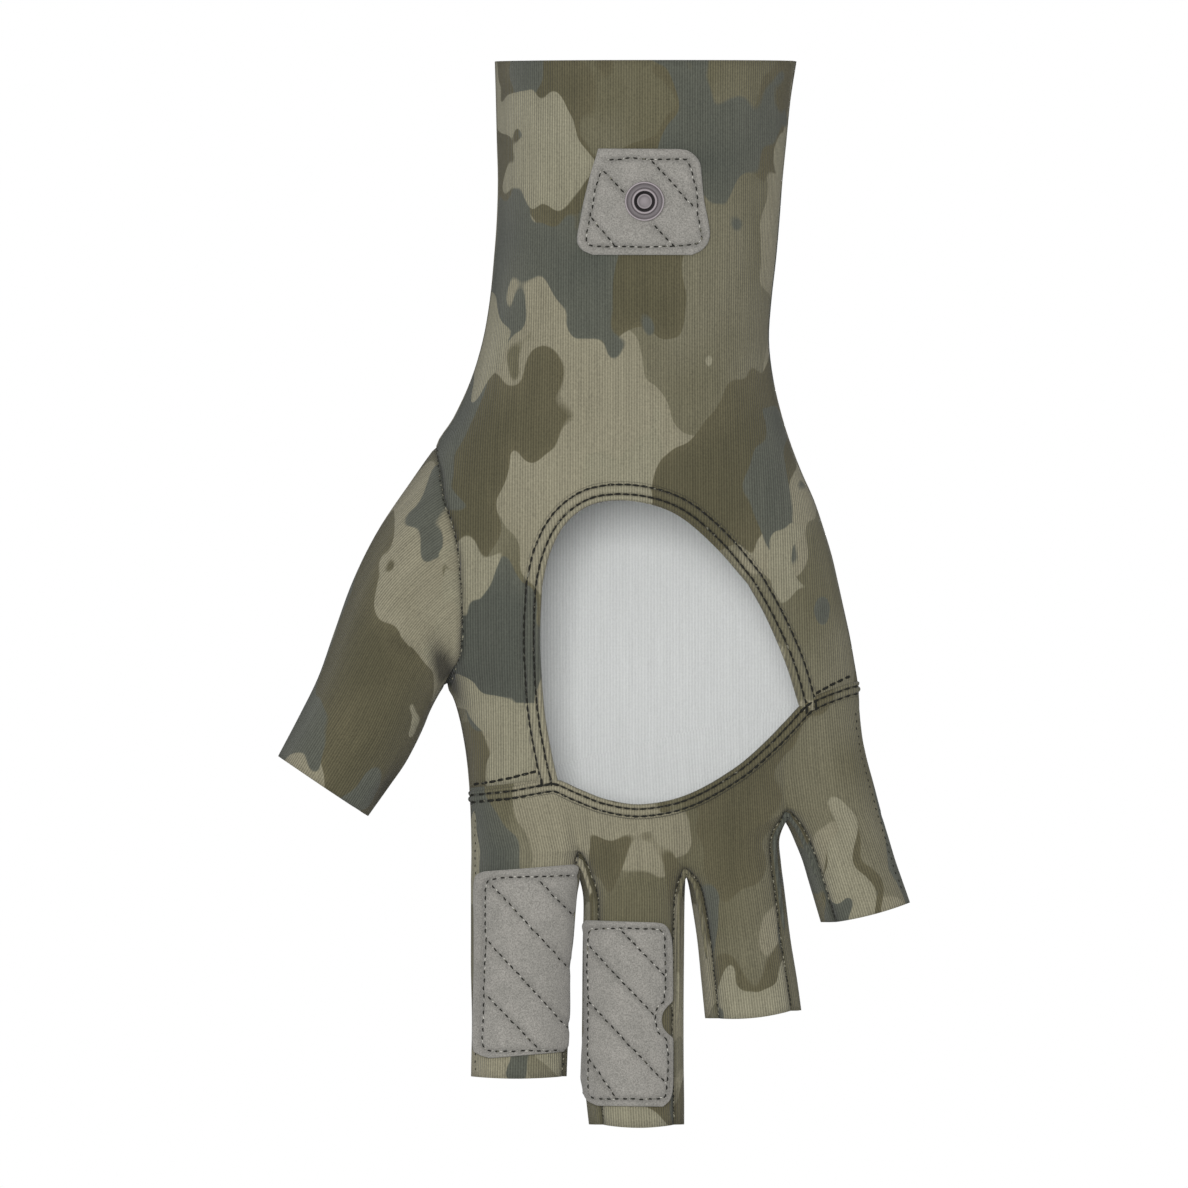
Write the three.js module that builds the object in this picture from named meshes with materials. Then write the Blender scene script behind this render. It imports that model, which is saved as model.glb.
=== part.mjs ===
// Fingerless fishing glove for the right hand, in the full shape it has when worn.
// The cuff opening is at z = 0 and the fingers hang down. The palm faces -Y and the thumb is on the -X side.
// Lengths are in millimetres. Table values are shares of the named sizes: down is a share of LENGTH,
// across a share of PALM_WIDTH from the cuff's middle, and depths are shares of CUFF_DEPTH.

import * as THREE from 'three';

const LENGTH = 255.7;
const PALM_WIDTH = 93.8;
const CUFF_DEPTH = 50;
const CLOTH = 1.2;
const SUEDE = 1.2;
const SEAM_GAP = 0.3;
const PAD_GAP = 0.5;
const SNAP_RADIUS = 4.7;
const SNAP_HEIGHT = 1.5;
const SNAP_GAP = 0.3;
const HEM_LAP = 0.0012;

const lerp = (a, b, t) => a + (b - a) * t;
const smooth = (t) => t * t * (3 - 2 * t);

// Reads a table's column at a value of its first column, along a smooth curve through the rows.
function table(names, rows) {
  const last = rows.length - 1;
  const slope = (c, j) => {
    const before = rows[Math.max(j - 1, 0)];
    const after = rows[Math.min(j + 1, last)];
    return (after[c] - before[c]) / (after[0] - before[0]);
  };
  return (name, value) => {
    const c = names.indexOf(name);
    const at = Math.min(Math.max(value, rows[0][0]), rows[last][0]);
    let i = 0;
    while (i < last - 1 && at > rows[i + 1][0]) i += 1;
    const step = rows[i + 1][0] - rows[i][0];
    const u = (at - rows[i][0]) / step;
    const bend = u * (1 - u) * step;
    const drift = slope(c, i) * (1 - u) - slope(c, i + 1) * u;
    return lerp(rows[i][c], rows[i + 1][c], smooth(u)) + bend * drift;
  };
}

// The hand from the cuff down. Left is the seam or the outline on the thumb side, and root is how far the
// thumb's root reaches past that seam. Bow is how far the middle of the hand has moved back, and square is
// the exponent of the section's oval.
const hand = table(['down', 'left', 'root', 'right', 'front', 'back', 'bow', 'square'], [
  [0.0000, -0.3875, -0.3875, 0.3875, 0.500, 0.500, 0.0000, 2.00],
  [0.0361, -0.3849, -0.3849, 0.3721, 0.486, 0.486, 0.0000, 2.00],
  [0.0737, -0.3824, -0.3824, 0.3619, 0.472, 0.472, 0.0000, 2.05],
  [0.1112, -0.3798, -0.3798, 0.3517, 0.460, 0.460, 0.0000, 2.05],
  [0.1488, -0.3824, -0.3824, 0.3440, 0.448, 0.448, 0.0000, 2.10],
  [0.1863, -0.3900, -0.3900, 0.3350, 0.438, 0.438, 0.0000, 2.10],
  [0.2238, -0.4003, -0.4003, 0.3235, 0.428, 0.428, 0.0000, 2.10],
  [0.2614, -0.4182, -0.4182, 0.3171, 0.420, 0.420, 0.0000, 2.10],
  [0.2989, -0.4488, -0.4488, 0.3286, 0.416, 0.412, -0.0020, 2.15],
  [0.3346, -0.4936, -0.4936, 0.3517, 0.416, 0.400, -0.0040, 2.20],
  [0.3609, -0.5371, -0.5371, 0.3747, 0.416, 0.390, -0.0080, 2.25],
  [0.3862, -0.5243, -0.5716, 0.4015, 0.416, 0.380, -0.0120, 2.30],
  [0.4115, -0.5141, -0.6049, 0.4322, 0.416, 0.370, -0.0160, 2.30],
  [0.4378, -0.4923, -0.6279, 0.4565, 0.412, 0.360, -0.0200, 2.30],
  [0.4641, -0.4770, -0.6407, 0.4783, 0.406, 0.352, -0.0240, 2.30],
  [0.4904, -0.4719, -0.6432, 0.4949, 0.396, 0.344, -0.0280, 2.30],
  [0.5138, -0.4693, -0.6381, 0.5090, 0.384, 0.338, -0.0320, 2.30],
  [0.5373, -0.4693, -0.6202, 0.5230, 0.370, 0.332, -0.0360, 2.30],
  [0.5608, -0.4770, -0.5818, 0.5345, 0.356, 0.326, -0.0400, 2.30],
  [0.5842, -0.5102, -0.5102, 0.5448, 0.344, 0.320, -0.0440, 2.30],
  [0.5992, -0.4923, -0.4923, 0.5473, 0.336, 0.316, -0.0460, 2.30],
  [0.6180, -0.4770, -0.4770, 0.5499, 0.326, 0.312, -0.0500, 2.35],
  [0.6368, -0.4668, -0.4668, 0.5563, 0.316, 0.306, -0.0540, 2.35],
  [0.6556, -0.4591, -0.4591, 0.5665, 0.308, 0.300, -0.0580, 2.40],
  [0.6818, -0.4527, -0.4527, 0.5870, 0.296, 0.292, -0.0620, 2.40],
  [0.7119, -0.4488, -0.4488, 0.6100, 0.284, 0.282, -0.0680, 2.40],
  [0.7410, -0.4476, -0.4476, 0.6330, 0.272, 0.272, -0.0740, 2.40],
  [0.7870, -0.4488, -0.4488, 0.6765, 0.252, 0.252, -0.0840, 2.40],
  [1.0028, -0.4488, -0.4488, 0.6765, 0.200, 0.200, -0.1400, 2.20],
]);

// The thumb hole is between these two places on the thumb side.
const HOLE_TOP = 0.3609;
const HOLE_END = 0.5842;

// The palm seam across the hand, which is also the lower edge of the palm window.
const seam = table(['across', 'down'], [
  [-0.4527, 0.6818],
  [-0.3593, 0.6781],
  [-0.2621, 0.6743],
  [-0.2263, 0.6739],
  [-0.1701, 0.6828],
  [-0.0985, 0.6926],
  [-0.0090, 0.6969],
  [0.1061, 0.6879],
  [0.2289, 0.6626],
  [0.3107, 0.6368],
  [0.3951, 0.6058],
  [0.4335, 0.5988],
  [0.4872, 0.5936],
  [0.5448, 0.5889],
]);

// The palm window's upper edge, from its left side over the top to its right side.
const arch = table(['along', 'down', 'across'], [
  [0.000, 0.4904, -0.2647],
  [0.125, 0.4603, -0.2442],
  [0.250, 0.4331, -0.2033],
  [0.375, 0.4162, -0.1394],
  [0.500, 0.4120, -0.0575],
  [0.625, 0.4172, 0.0320],
  [0.750, 0.4303, 0.1061],
  [0.875, 0.4575, 0.1880],
  [1.000, 0.4904, 0.2621],
]);
const ARCH_FOOT = 0.4904;
const WINDOW_END_LEFT = 0.6739;
const WINDOW_END_RIGHT = 0.6058;

const windowLeft = table(['down', 'across'], [
  [0.4904, -0.2647],
  [0.5260, -0.2698],
  [0.5626, -0.2691],
  [0.6105, -0.2596],
  [0.6518, -0.2404],
  [WINDOW_END_LEFT, -0.2263],
]);
const windowRight = table(['down', 'across'], [
  [0.4904, 0.2621],
  [0.5223, 0.3107],
  [0.5653, 0.3629],
  [WINDOW_END_RIGHT, 0.3951],
]);

// The outlines of the four fingers, from the index to the little finger. Front and back are the depths at
// the finger's root and at its end. Hem is how far down its end is at the left, at the right, and how much
// it sags. Inset is how far in from the outline the seams are, at the left and at the right.
const EDGES = ['down', 'left', 'right'];
const fingers = [
  {
    edges: table(EDGES, [
      [0.7410, -0.4476, -0.1662],
      [0.7663, -0.4488, -0.1688],
      [0.7738, -0.4488, -0.1731],
      [0.7870, -0.4488, -0.1777],
      [0.8245, -0.4488, -0.1854],
      [0.8527, -0.4488, -0.1944],
      [0.8996, -0.4463, -0.1969],
      [0.9531, -0.4488, -0.2020],
    ]),
    front: [0.222, 0.196],
    back: [0.222, 0.196],
    hem: [0.9521, 0.9521, 0.0019],
    inset: [0, 0.0090],
  },
  {
    edges: table(EDGES, [
      [0.7410, -0.1726, 0.1036],
      [0.7663, -0.1688, 0.1000],
      [0.7738, -0.1624, 0.0997],
      [0.7870, -0.1586, 0.0992],
      [0.8245, -0.1611, 0.0985],
      [0.8808, -0.1624, 0.0972],
      [0.9371, -0.1624, 0.0972],
      [0.9747, -0.1522, 0.0985],
      [1.0000, -0.1445, 0.0985],
    ]),
    front: [0.226, 0.200],
    back: [0.226, 0.200],
    hem: [0.9972, 0.9972, 0.0028],
    inset: [0.0360, 0.0256],
  },
  {
    edges: table(EDGES, [
      [0.7034, 0.0985, 0.3645],
      [0.7123, 0.0997, 0.3568],
      [0.7194, 0.1010, 0.3465],
      [0.7306, 0.1018, 0.3402],
      [0.7494, 0.1023, 0.3453],
      [0.7616, 0.1031, 0.3491],
      [0.7682, 0.1087, 0.3517],
      [0.7870, 0.1164, 0.3581],
      [0.8245, 0.1317, 0.3708],
      [0.8620, 0.1419, 0.3875],
      [0.8996, 0.1522, 0.4015],
    ]),
    front: [0.218, 0.190],
    back: [0.218, 0.190],
    hem: [0.8977, 0.8902, 0.0030],
    inset: [0.0310, 0.0225],
  },
  {
    edges: table(EDGES, [
      [0.7034, 0.3478, 0.6036],
      [0.7123, 0.3568, 0.6113],
      [0.7194, 0.3670, 0.6164],
      [0.7306, 0.3798, 0.6253],
      [0.7494, 0.4003, 0.6407],
      [0.7682, 0.4156, 0.6586],
      [0.7870, 0.4309, 0.6765],
      [0.8076, 0.4476, 0.6944],
    ]),
    front: [0.200, 0.172],
    back: [0.200, 0.172],
    hem: [0.8076, 0.7888, 0.0019],
    inset: [0.0360, 0],
  },
];

// Where the seams come together between two fingers, on the front, on the back, and the web between them.
// The first and the last row are the hand's own sides.
const LEFT_SIDE = [0.7410, hand('left', 0.7410)];
const RIGHT_SIDE = [0.7034, hand('right', 0.7034)];
const crotches = [
  { front: LEFT_SIDE, back: LEFT_SIDE, web: LEFT_SIDE },
  { front: [0.7410, -0.1726], back: [0.7340, -0.1726], web: [0.7663, -0.1688] },
  { front: [0.7579, 0.1010], back: [0.7500, 0.1010], web: [0.7621, 0.1025] },
  { front: [0.7034, 0.3619], back: [0.6970, 0.3590], web: [0.7123, 0.3568] },
  { front: RIGHT_SIDE, back: RIGHT_SIDE, web: RIGHT_SIDE },
];
const CROTCH_DEPTH = 0.72;
const PINCH = 16;

// Where the hand divides into fingers, across the palm seam, and where that seam ends at both sides.
const SEAM_LEFT = 0.6818;
const SEAM_RIGHT = 0.5889;
const DIVISIONS = [hand('left', SEAM_LEFT), -0.1803, 0.0959, 0.3517, hand('right', SEAM_RIGHT)];

// The thumb's two outlines from its hole to its end, with its half depth and how far its middle moves.
const thumb = table(['along', 'leftDown', 'left', 'rightDown', 'right', 'deep', 'bow'], [
  [0.00, 0.3609, -0.5371, 0.5842, -0.5102, 0.300, -0.026],
  [0.12, 0.3909, -0.5946, 0.5927, -0.5269, 0.296, -0.034],
  [0.28, 0.4397, -0.6841, 0.6096, -0.5512, 0.288, -0.050],
  [0.42, 0.4866, -0.7481, 0.6246, -0.5678, 0.278, -0.066],
  [0.56, 0.5354, -0.7967, 0.6415, -0.5895, 0.266, -0.086],
  [0.70, 0.5767, -0.8363, 0.6603, -0.6176, 0.254, -0.108],
  [0.85, 0.6124, -0.8836, 0.6818, -0.6586, 0.242, -0.132],
  [1.00, 0.6518, -0.9399, 0.7081, -0.7097, 0.230, -0.160],
]);

// Turns a place on the glove into a point. Deep is a share of CUFF_DEPTH towards the back.
const place = (across, down, deep) => [across * PALM_WIDTH, deep * CUFF_DEPTH, -down * LENGTH];

// How far the hand's own oval stands out at a place, to the front or the back.
function handDepth(side, across, down) {
  const left = down > HOLE_TOP && down < HOLE_END ? hand('root', down) : hand('left', down);
  const right = hand('right', down);
  const square = hand('square', down);
  const u = Math.min(Math.abs((2 * across - left - right) / (right - left)), 1);
  return hand(side, down) * (1 - u ** square) ** (1 / square);
}

function handPoint(side, across, down) {
  const sign = side === 'front' ? -1 : 1;
  return place(across, down, hand('bow', down) + sign * handDepth(side, across, down));
}

// One finger's section angles: the seam on its right side and on its left side, from its middle plane.
function seamAngles(k) {
  const { inset } = fingers[k];
  const half = (fingers[k].edges('right', 0.787) - fingers[k].edges('left', 0.787)) / 2;
  return [Math.PI - Math.acos(1 - inset[0] / half), Math.acos(1 - inset[1] / half)];
}

// A place on a finger's front or back: s runs across it between its seams and v from the crotches to its hem.
function fingerPlace(side, k, v, s) {
  const { edges, hem } = fingers[k];
  const [first, final] = seamAngles(k);
  const angle = lerp(first, final, s);
  const share = (Math.cos(angle) - Math.cos(first)) / (Math.cos(final) - Math.cos(first));
  const before = crotches[k][side];
  const after = crotches[k + 1][side];
  const start = lerp(before[0], after[0], share);
  const end = lerp(hem[0], hem[1], share) + hem[2] * 4 * share * (1 - share);
  const down = lerp(start, end, v);
  const left = edges('left', down);
  const right = edges('right', down);
  const tall = lerp(fingers[k][side][0], fingers[k][side][1], v);
  const acrossAt = (turn) => (left + right) / 2 + ((right - left) / 2) * Math.cos(turn);
  const pinch = (1 - v) ** PINCH;
  const onLeft = pinch * (1 - share) ** 3;
  const onRight = pinch * share ** 3;
  const pull = (boundary, turn) => {
    if (boundary === 0 || boundary === 4) return 0;
    const meet = (fingers[boundary - 1][side][0] + fingers[boundary][side][0]) / 2;
    return CROTCH_DEPTH * meet - tall * Math.sin(turn);
  };
  const shift = (before[1] - acrossAt(first)) * onLeft + (after[1] - acrossAt(final)) * onRight;
  return {
    across: acrossAt(angle) + shift,
    down,
    deep: tall * Math.sin(angle) + pull(k, first) * onLeft + pull(k + 1, final) * onRight,
  };
}

function fingerPoint(side, k, v, s) {
  const { across, down, deep } = fingerPlace(side, k, v, s);
  const sign = side === 'front' ? -1 : 1;
  return place(across, down, hand('bow', down) + sign * deep);
}

// A place between the line where the fingers start and the crotches, with t from 0 to 1.
function rootPoint(side, k, t, s) {
  const even = k === 0 ? 1 - Math.cos((s * Math.PI) / 2) : k === 3 ? Math.sin((s * Math.PI) / 2) : s;
  const topAcross = lerp(DIVISIONS[k], DIVISIONS[k + 1], even);
  const share = (topAcross - DIVISIONS[0]) / (DIVISIONS[4] - DIVISIONS[0]);
  const edge = (k === 0 && s === 0) || (k === 3 && s === 1);
  const lap = edge ? 0 : HEM_LAP;
  const topDown = side === 'front' ? seam('down', topAcross) + lap : lerp(SEAM_LEFT, SEAM_RIGHT, share);
  const low = fingerPlace(side, k, 0, s);
  const down = lerp(topDown, low.down, t);
  const leftEdge = hand('left', lerp(SEAM_LEFT, LEFT_SIDE[0], t));
  const leftDrift = leftEdge - lerp(DIVISIONS[0], LEFT_SIDE[1], t);
  const rightEdge = hand('right', lerp(SEAM_RIGHT, RIGHT_SIDE[0], t));
  const rightDrift = rightEdge - lerp(DIVISIONS[4], RIGHT_SIDE[1], t);
  let across = lerp(topAcross, low.across, t);
  if (k === 0) across += leftDrift * (1 - s) ** 3;
  if (k === 3) across += rightDrift * s ** 3;
  const deep = edge ? 0 : lerp(handDepth(side, across, down), low.deep, smooth(t));
  const sign = side === 'front' ? -1 : 1;
  return place(across, down, hand('bow', down) + sign * deep);
}

// A strip between two fingers: row v down a finger's side, q from its front seam to its back seam.
function stripPoint(gap, onRight, v, q) {
  const k = onRight ? gap : gap - 1;
  const s = onRight ? 0 : 1;
  const front = fingerPoint('front', k, v, s);
  const back = fingerPoint('back', k, v, s);
  const web = crotches[gap].web;
  const frontDown = -front[2] / LENGTH;
  const backDown = -back[2] / LENGTH;
  const meetDown = (crotches[gap].front[0] + crotches[gap].back[0]) / 2;
  const down = (frontDown + backDown) / 2 + (web[0] - meetDown) * (1 - v) ** 6;
  const edge = fingers[k].edges(onRight ? 'left' : 'right', down);
  const middle = place(lerp(edge, web[1], (1 - v) ** PINCH), down, hand('bow', down));
  const angles = seamAngles(k);
  const finger = onRight ? Math.PI - angles[0] : angles[1];
  const reach = lerp(finger, 1.48, (1 - v) ** 12);
  const angle = lerp(-reach, reach, q);
  const along = Math.sin(angle) / Math.sin(reach);
  const out = (Math.cos(angle) - Math.cos(reach)) / (1 - Math.cos(reach));
  return [0, 1, 2].map((i) => {
    const centre = (front[i] + back[i]) / 2;
    return centre + ((back[i] - front[i]) / 2) * along + (middle[i] - centre) * out;
  });
}

// An open sheet of triangles whose front faces out of the glove.
class Sheet {
  constructor() {
    this.points = [];
    this.faces = [];
    this.known = new Map();
  }

  static key(p) {
    return p.map((c) => Math.round(c * 500)).join(' ');
  }

  vertex(p) {
    const key = Sheet.key(p);
    if (!this.known.has(key)) {
      this.known.set(key, this.points.length);
      this.points.push(p);
    }
    return this.known.get(key);
  }

  face(a, b, c) {
    if (a !== b && b !== c && c !== a) this.faces.push([a, b, c]);
  }

  // Adds a grid of cells. Cells face along (step in u) x (step in v), or the other way when flipped.
  grid(point, us, vs, flip) {
    const at = vs.map((v) => us.map((u) => this.vertex(point(u, v))));
    for (let j = 0; j < vs.length - 1; j += 1) {
      for (let i = 0; i < us.length - 1; i += 1) {
        const [a, b, c, d] = [at[j][i], at[j][i + 1], at[j + 1][i + 1], at[j + 1][i]];
        if (flip) {
          this.face(a, c, b);
          this.face(a, d, c);
        } else {
          this.face(a, b, c);
          this.face(a, c, d);
        }
      }
    }
    return this;
  }

  normalOf([a, b, c]) {
    const [p, q, r] = [a, b, c].map((i) => new THREE.Vector3(...this.points[i]));
    return q.sub(p).cross(r.sub(p));
  }
}

// Adds up the face normals at every point, over all the sheets that meet there.
function sharedNormals(sheets) {
  const sums = new Map();
  for (const sheet of sheets) {
    for (const face of sheet.faces) {
      const normal = sheet.normalOf(face);
      for (const i of face) {
        const key = Sheet.key(sheet.points[i]);
        if (!sums.has(key)) sums.set(key, new THREE.Vector3());
        sums.get(key).add(normal);
      }
    }
  }
  for (const sum of sums.values()) sum.normalize();
  return sums;
}

// Makes a closed solid of a sheet: moved out by lift, thickened inwards, and drawn in at its edges by trim.
function thicken(sheet, normals, thick, lift, trim) {
  const edges = new Map();
  for (const face of sheet.faces) {
    const normal = sheet.normalOf(face).normalize();
    for (let i = 0; i < 3; i += 1) {
      const [a, b] = [face[i], face[(i + 1) % 3]];
      const twin = `${b} ${a}`;
      if (edges.has(twin)) edges.delete(twin);
      else edges.set(`${a} ${b}`, { a, b, normal });
    }
  }
  const inward = new Map();
  for (const { a, b, normal } of edges.values()) {
    const [from, to] = [a, b].map((i) => new THREE.Vector3(...sheet.points[i]));
    const step = normal.clone().cross(to.sub(from)).normalize();
    for (const i of [a, b]) inward.set(i, [...(inward.get(i) ?? []), step]);
  }
  const outer = [];
  const inner = [];
  sheet.points.forEach((p, i) => {
    const normal = normals.get(Sheet.key(p));
    const point = new THREE.Vector3(...p).addScaledVector(normal, lift);
    const steps = inward.get(i);
    if (steps) {
      const sum = steps.reduce((total, step) => total.add(step), new THREE.Vector3());
      const corner = Math.max(sum.lengthSq() / steps.length, 0.4);
      const level = sum.clone().addScaledVector(normal, -sum.dot(normal));
      const lean = Math.max(level.length() / sum.length(), 0.4);
      point.addScaledVector(sum, trim / corner / lean);
    }
    outer.push(point.toArray());
    inner.push(point.clone().addScaledVector(normal, -thick).toArray());
  });
  const count = outer.length;
  const index = [];
  for (const [a, b, c] of sheet.faces) index.push(a, b, c, c + count, b + count, a + count);
  for (const { a, b } of edges.values()) {
    if (sheet.points[a][2] > sheet.points[b][2]) index.push(b, a, a + count, b, a + count, b + count);
    else index.push(b, a, b + count, a, a + count, b + count);
  }
  const geometry = new THREE.BufferGeometry();
  geometry.setAttribute('position', new THREE.Float32BufferAttribute([...outer, ...inner].flat(), 3));
  geometry.setIndex(index);
  return geometry;
}

const steps = (count, bias = 1) => Array.from({ length: count + 1 }, (_, i) => (i / count) ** bias);

// Rows down the hand's two sides. Both sides have as many rows, and the last is the palm seam's end.
const LEFT_ROWS = [
  0.0000, 0.0361, 0.0737, 0.1112, 0.1488, 0.1863, 0.2238, 0.2614, 0.2989, 0.3346, HOLE_TOP, 0.3862, 0.4115,
  0.4378, 0.4641, ARCH_FOOT, 0.5138, 0.5373, 0.5608, 0.5760, HOLE_END, 0.6086, 0.6330, 0.6574, SEAM_LEFT,
];
// The last row that runs straight across, and the row at the foot of the window's arch.
const STRAIGHT = LEFT_ROWS.indexOf(HOLE_TOP);
const FOOT = LEFT_ROWS.indexOf(ARCH_FOOT);
const BESIDE = LEFT_ROWS.length - 1 - FOOT;
const RIGHT_ROWS = LEFT_ROWS.map((down, i) => lerp(ARCH_FOOT, SEAM_RIGHT, (i - FOOT) / BESIDE));
for (let i = 0; i < FOOT; i += 1) RIGHT_ROWS[i] = LEFT_ROWS[i];

// Columns across the palm: left strip, window arch and right strip, as shares at the foot of the arch.
const STRIP = [0, 0.09, 0.28, 0.6, 1];
const ARCH_CELLS = 10;
const FINGER_CELLS = 5;
const ROOT_CELLS = 4;
const SIDE_CELLS = 9;
const STRIP_CELLS = 6;

function palmSheet() {
  const sheet = new Sheet();
  const left = hand('left', ARCH_FOOT);
  const right = hand('right', ARCH_FOOT);
  const beyond = (edge, side) => STRIP.map((c) => [ARCH_FOOT, lerp(edge, side('across', ARCH_FOOT), c)]);
  const onLeft = beyond(left, windowLeft);
  const onArch = steps(ARCH_CELLS).map((c) => [arch('down', c), arch('across', c)]);
  const onRight = beyond(right, windowRight).reverse();
  const foot = [...onLeft.slice(0, -1), ...onArch, ...onRight.slice(1)];
  const shares = foot.map(([, across]) => (across - left) / (right - left));
  const columns = foot.map((_, i) => i);
  const above = (i, j) => {
    const down = LEFT_ROWS[j];
    return handPoint('front', lerp(hand('left', down), hand('right', down), shares[i]), down);
  };
  sheet.grid(above, columns, LEFT_ROWS.slice(0, STRAIGHT + 1).map((_, j) => j), true);
  const around = (i, g) => {
    const top = LEFT_ROWS[STRAIGHT];
    const down = lerp(top, foot[i][0], g);
    const from = lerp(hand('left', top), hand('right', top), shares[i]);
    const drift = (side) => hand(side, down) - lerp(hand(side, top), hand(side, ARCH_FOOT), g);
    const pull = drift('left') * (1 - shares[i]) ** 4 + drift('right') * shares[i] ** 4;
    return handPoint('front', lerp(from, foot[i][1], g) + (i > 0 && i < foot.length - 1 ? pull : 0), down);
  };
  const beside = (i, g) => {
    if (i > 0 && i < foot.length - 1) return around(i, g);
    const down = lerp(LEFT_ROWS[STRAIGHT], ARCH_FOOT, g);
    return handPoint('front', hand(i === 0 ? 'left' : 'right', down), down);
  };
  const span = LEFT_ROWS[FOOT] - LEFT_ROWS[STRAIGHT];
  const rows = LEFT_ROWS.slice(STRAIGHT, FOOT + 1).map((down) => (down - LEFT_ROWS[STRAIGHT]) / span);
  sheet.grid(beside, columns, rows, true);
  const leftStrip = (c, j) => {
    const f = (LEFT_ROWS[j] - ARCH_FOOT) / (SEAM_LEFT - ARCH_FOOT);
    const inner = lerp(ARCH_FOOT, WINDOW_END_LEFT, f);
    const across = lerp(hand('left', LEFT_ROWS[j]), windowLeft('across', inner), c);
    const curve = seam('down', across) - lerp(SEAM_LEFT, WINDOW_END_LEFT, c);
    return handPoint('front', across, lerp(LEFT_ROWS[j], inner, c) + (c > 0 ? curve * f ** 3 : 0));
  };
  const below = LEFT_ROWS.map((_, j) => j).slice(FOOT);
  sheet.grid(leftStrip, STRIP, below, true);
  const rightStrip = (c, j) => {
    const f = (j - FOOT) / BESIDE;
    const inner = lerp(ARCH_FOOT, WINDOW_END_RIGHT, f);
    const across = lerp(windowRight('across', inner), hand('right', RIGHT_ROWS[j]), c);
    const curve = seam('down', across) - lerp(WINDOW_END_RIGHT, SEAM_RIGHT, c);
    return handPoint('front', across, lerp(inner, RIGHT_ROWS[j], c) + (c < 1 ? curve * f ** 3 : 0));
  };
  return sheet.grid(rightStrip, STRIP.map((c) => 1 - c).reverse(), below, true);
}

function fingerCells(sheet, side) {
  const flip = side === 'front';
  for (let k = 0; k < 4; k += 1) {
    sheet.grid((s, t) => rootPoint(side, k, t, s), steps(FINGER_CELLS), steps(ROOT_CELLS), flip);
    sheet.grid((s, v) => fingerPoint(side, k, v, s), steps(FINGER_CELLS), steps(SIDE_CELLS, 1.7), flip);
  }
  return sheet;
}

function backSheet() {
  const sheet = new Sheet();
  const last = LEFT_ROWS.length - 1;
  for (let k = 0; k < 4; k += 1) {
    const above = (s, j) => {
      if (j === last) return rootPoint('back', k, 0, s);
      const even = k === 0 ? 1 - Math.cos((s * Math.PI) / 2) : k === 3 ? Math.sin((s * Math.PI) / 2) : s;
      const at = lerp(DIVISIONS[k], DIVISIONS[k + 1], even);
      const share = (at - DIVISIONS[0]) / (DIVISIONS[4] - DIVISIONS[0]);
      const across = lerp(hand('left', LEFT_ROWS[j]), hand('right', RIGHT_ROWS[j]), share);
      if (share > 0.9999) return handPoint('back', hand('right', RIGHT_ROWS[j]), RIGHT_ROWS[j]);
      return handPoint('back', across, lerp(LEFT_ROWS[j], RIGHT_ROWS[j], share));
    };
    sheet.grid(above, steps(FINGER_CELLS), LEFT_ROWS.map((_, j) => j), false);
  }
  return fingerCells(sheet, 'back');
}

function stripSheet(gap) {
  const down = steps(SIDE_CELLS, 1.7);
  const path = [...down.slice().reverse().map((v) => [false, v]), ...down.slice(1).map((v) => [true, v])];
  const rows = path.map((_, i) => i);
  const point = (q, i) => stripPoint(gap, path[i][0], path[i][1], q);
  return new Sheet().grid(point, steps(STRIP_CELLS), rows, false);
}

// The thumb's tube starts on the edge of its hole: down the front seam, then up the back seam.
function thumbSheet() {
  const rows = LEFT_ROWS.filter((down) => down > HOLE_TOP - 1e-6 && down < HOLE_END + 1e-6);
  const half = rows.length - 1;
  const ring = (m, along) => {
    const turn = Math.PI - (Math.PI * m) / half;
    const at = (name) => thumb(name, along);
    const across = lerp((at('left') + at('right')) / 2, at('right'), Math.cos(turn));
    const down = lerp((at('leftDown') + at('rightDown')) / 2, at('rightDown'), Math.cos(turn));
    return place(across, down, at('bow') - at('deep') * Math.sin(turn));
  };
  const point = (m, along) => {
    const down = rows[m <= half ? m : 2 * half - m];
    const base = handPoint(m <= half ? 'front' : 'back', hand('left', down), down);
    const start = ring(m, 0);
    return ring(m, along).map((value, i) => value + (base[i] - start[i]) * (1 - along) ** 2.5);
  };
  const alongs = [0, 0.06, 0.14, 0.26, 0.4, 0.55, 0.7, 0.85, 1];
  const around = Array.from({ length: 2 * half + 1 }, (_, m) => m % (2 * half));
  return new Sheet().grid(point, around, alongs, true);
}

// The suede patches. Each row has its two ends, as down and across.
const PATCH_ROWS = [
  [0.0826, -0.1215, 0.0832, 0.1090],
  [0.0870, -0.1250, 0.0870, 0.1320],
  [0.0962, -0.1285, 0.0962, 0.1400],
  [0.1180, -0.1390, 0.1180, 0.1470],
  [0.1460, -0.1570, 0.1460, 0.1545],
  [0.1741, -0.1740, 0.1741, 0.1610],
  [0.1800, -0.1730, 0.1800, 0.1560],
  [0.1835, -0.1598, 0.1830, 0.1360],
];
const INDEX_ROWS = [
  [0.7597, -0.4100, 0.7560, -0.1960],
  [0.7615, -0.4230, 0.7585, -0.1910],
  [0.7654, -0.4330, 0.7620, -0.1890],
  [0.7800, -0.4380, 0.7800, -0.1860],
  [0.8038, -0.4370, 0.8038, -0.1880],
  [0.8527, -0.4330, 0.8527, -0.2000],
  [0.8900, -0.4360, 0.8900, -0.2010],
  [0.9249, -0.4361, 0.9200, -0.2040],
  [0.9315, -0.4230, 0.9260, -0.2060],
  [0.9349, -0.3951, 0.9290, -0.2120],
];
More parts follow.
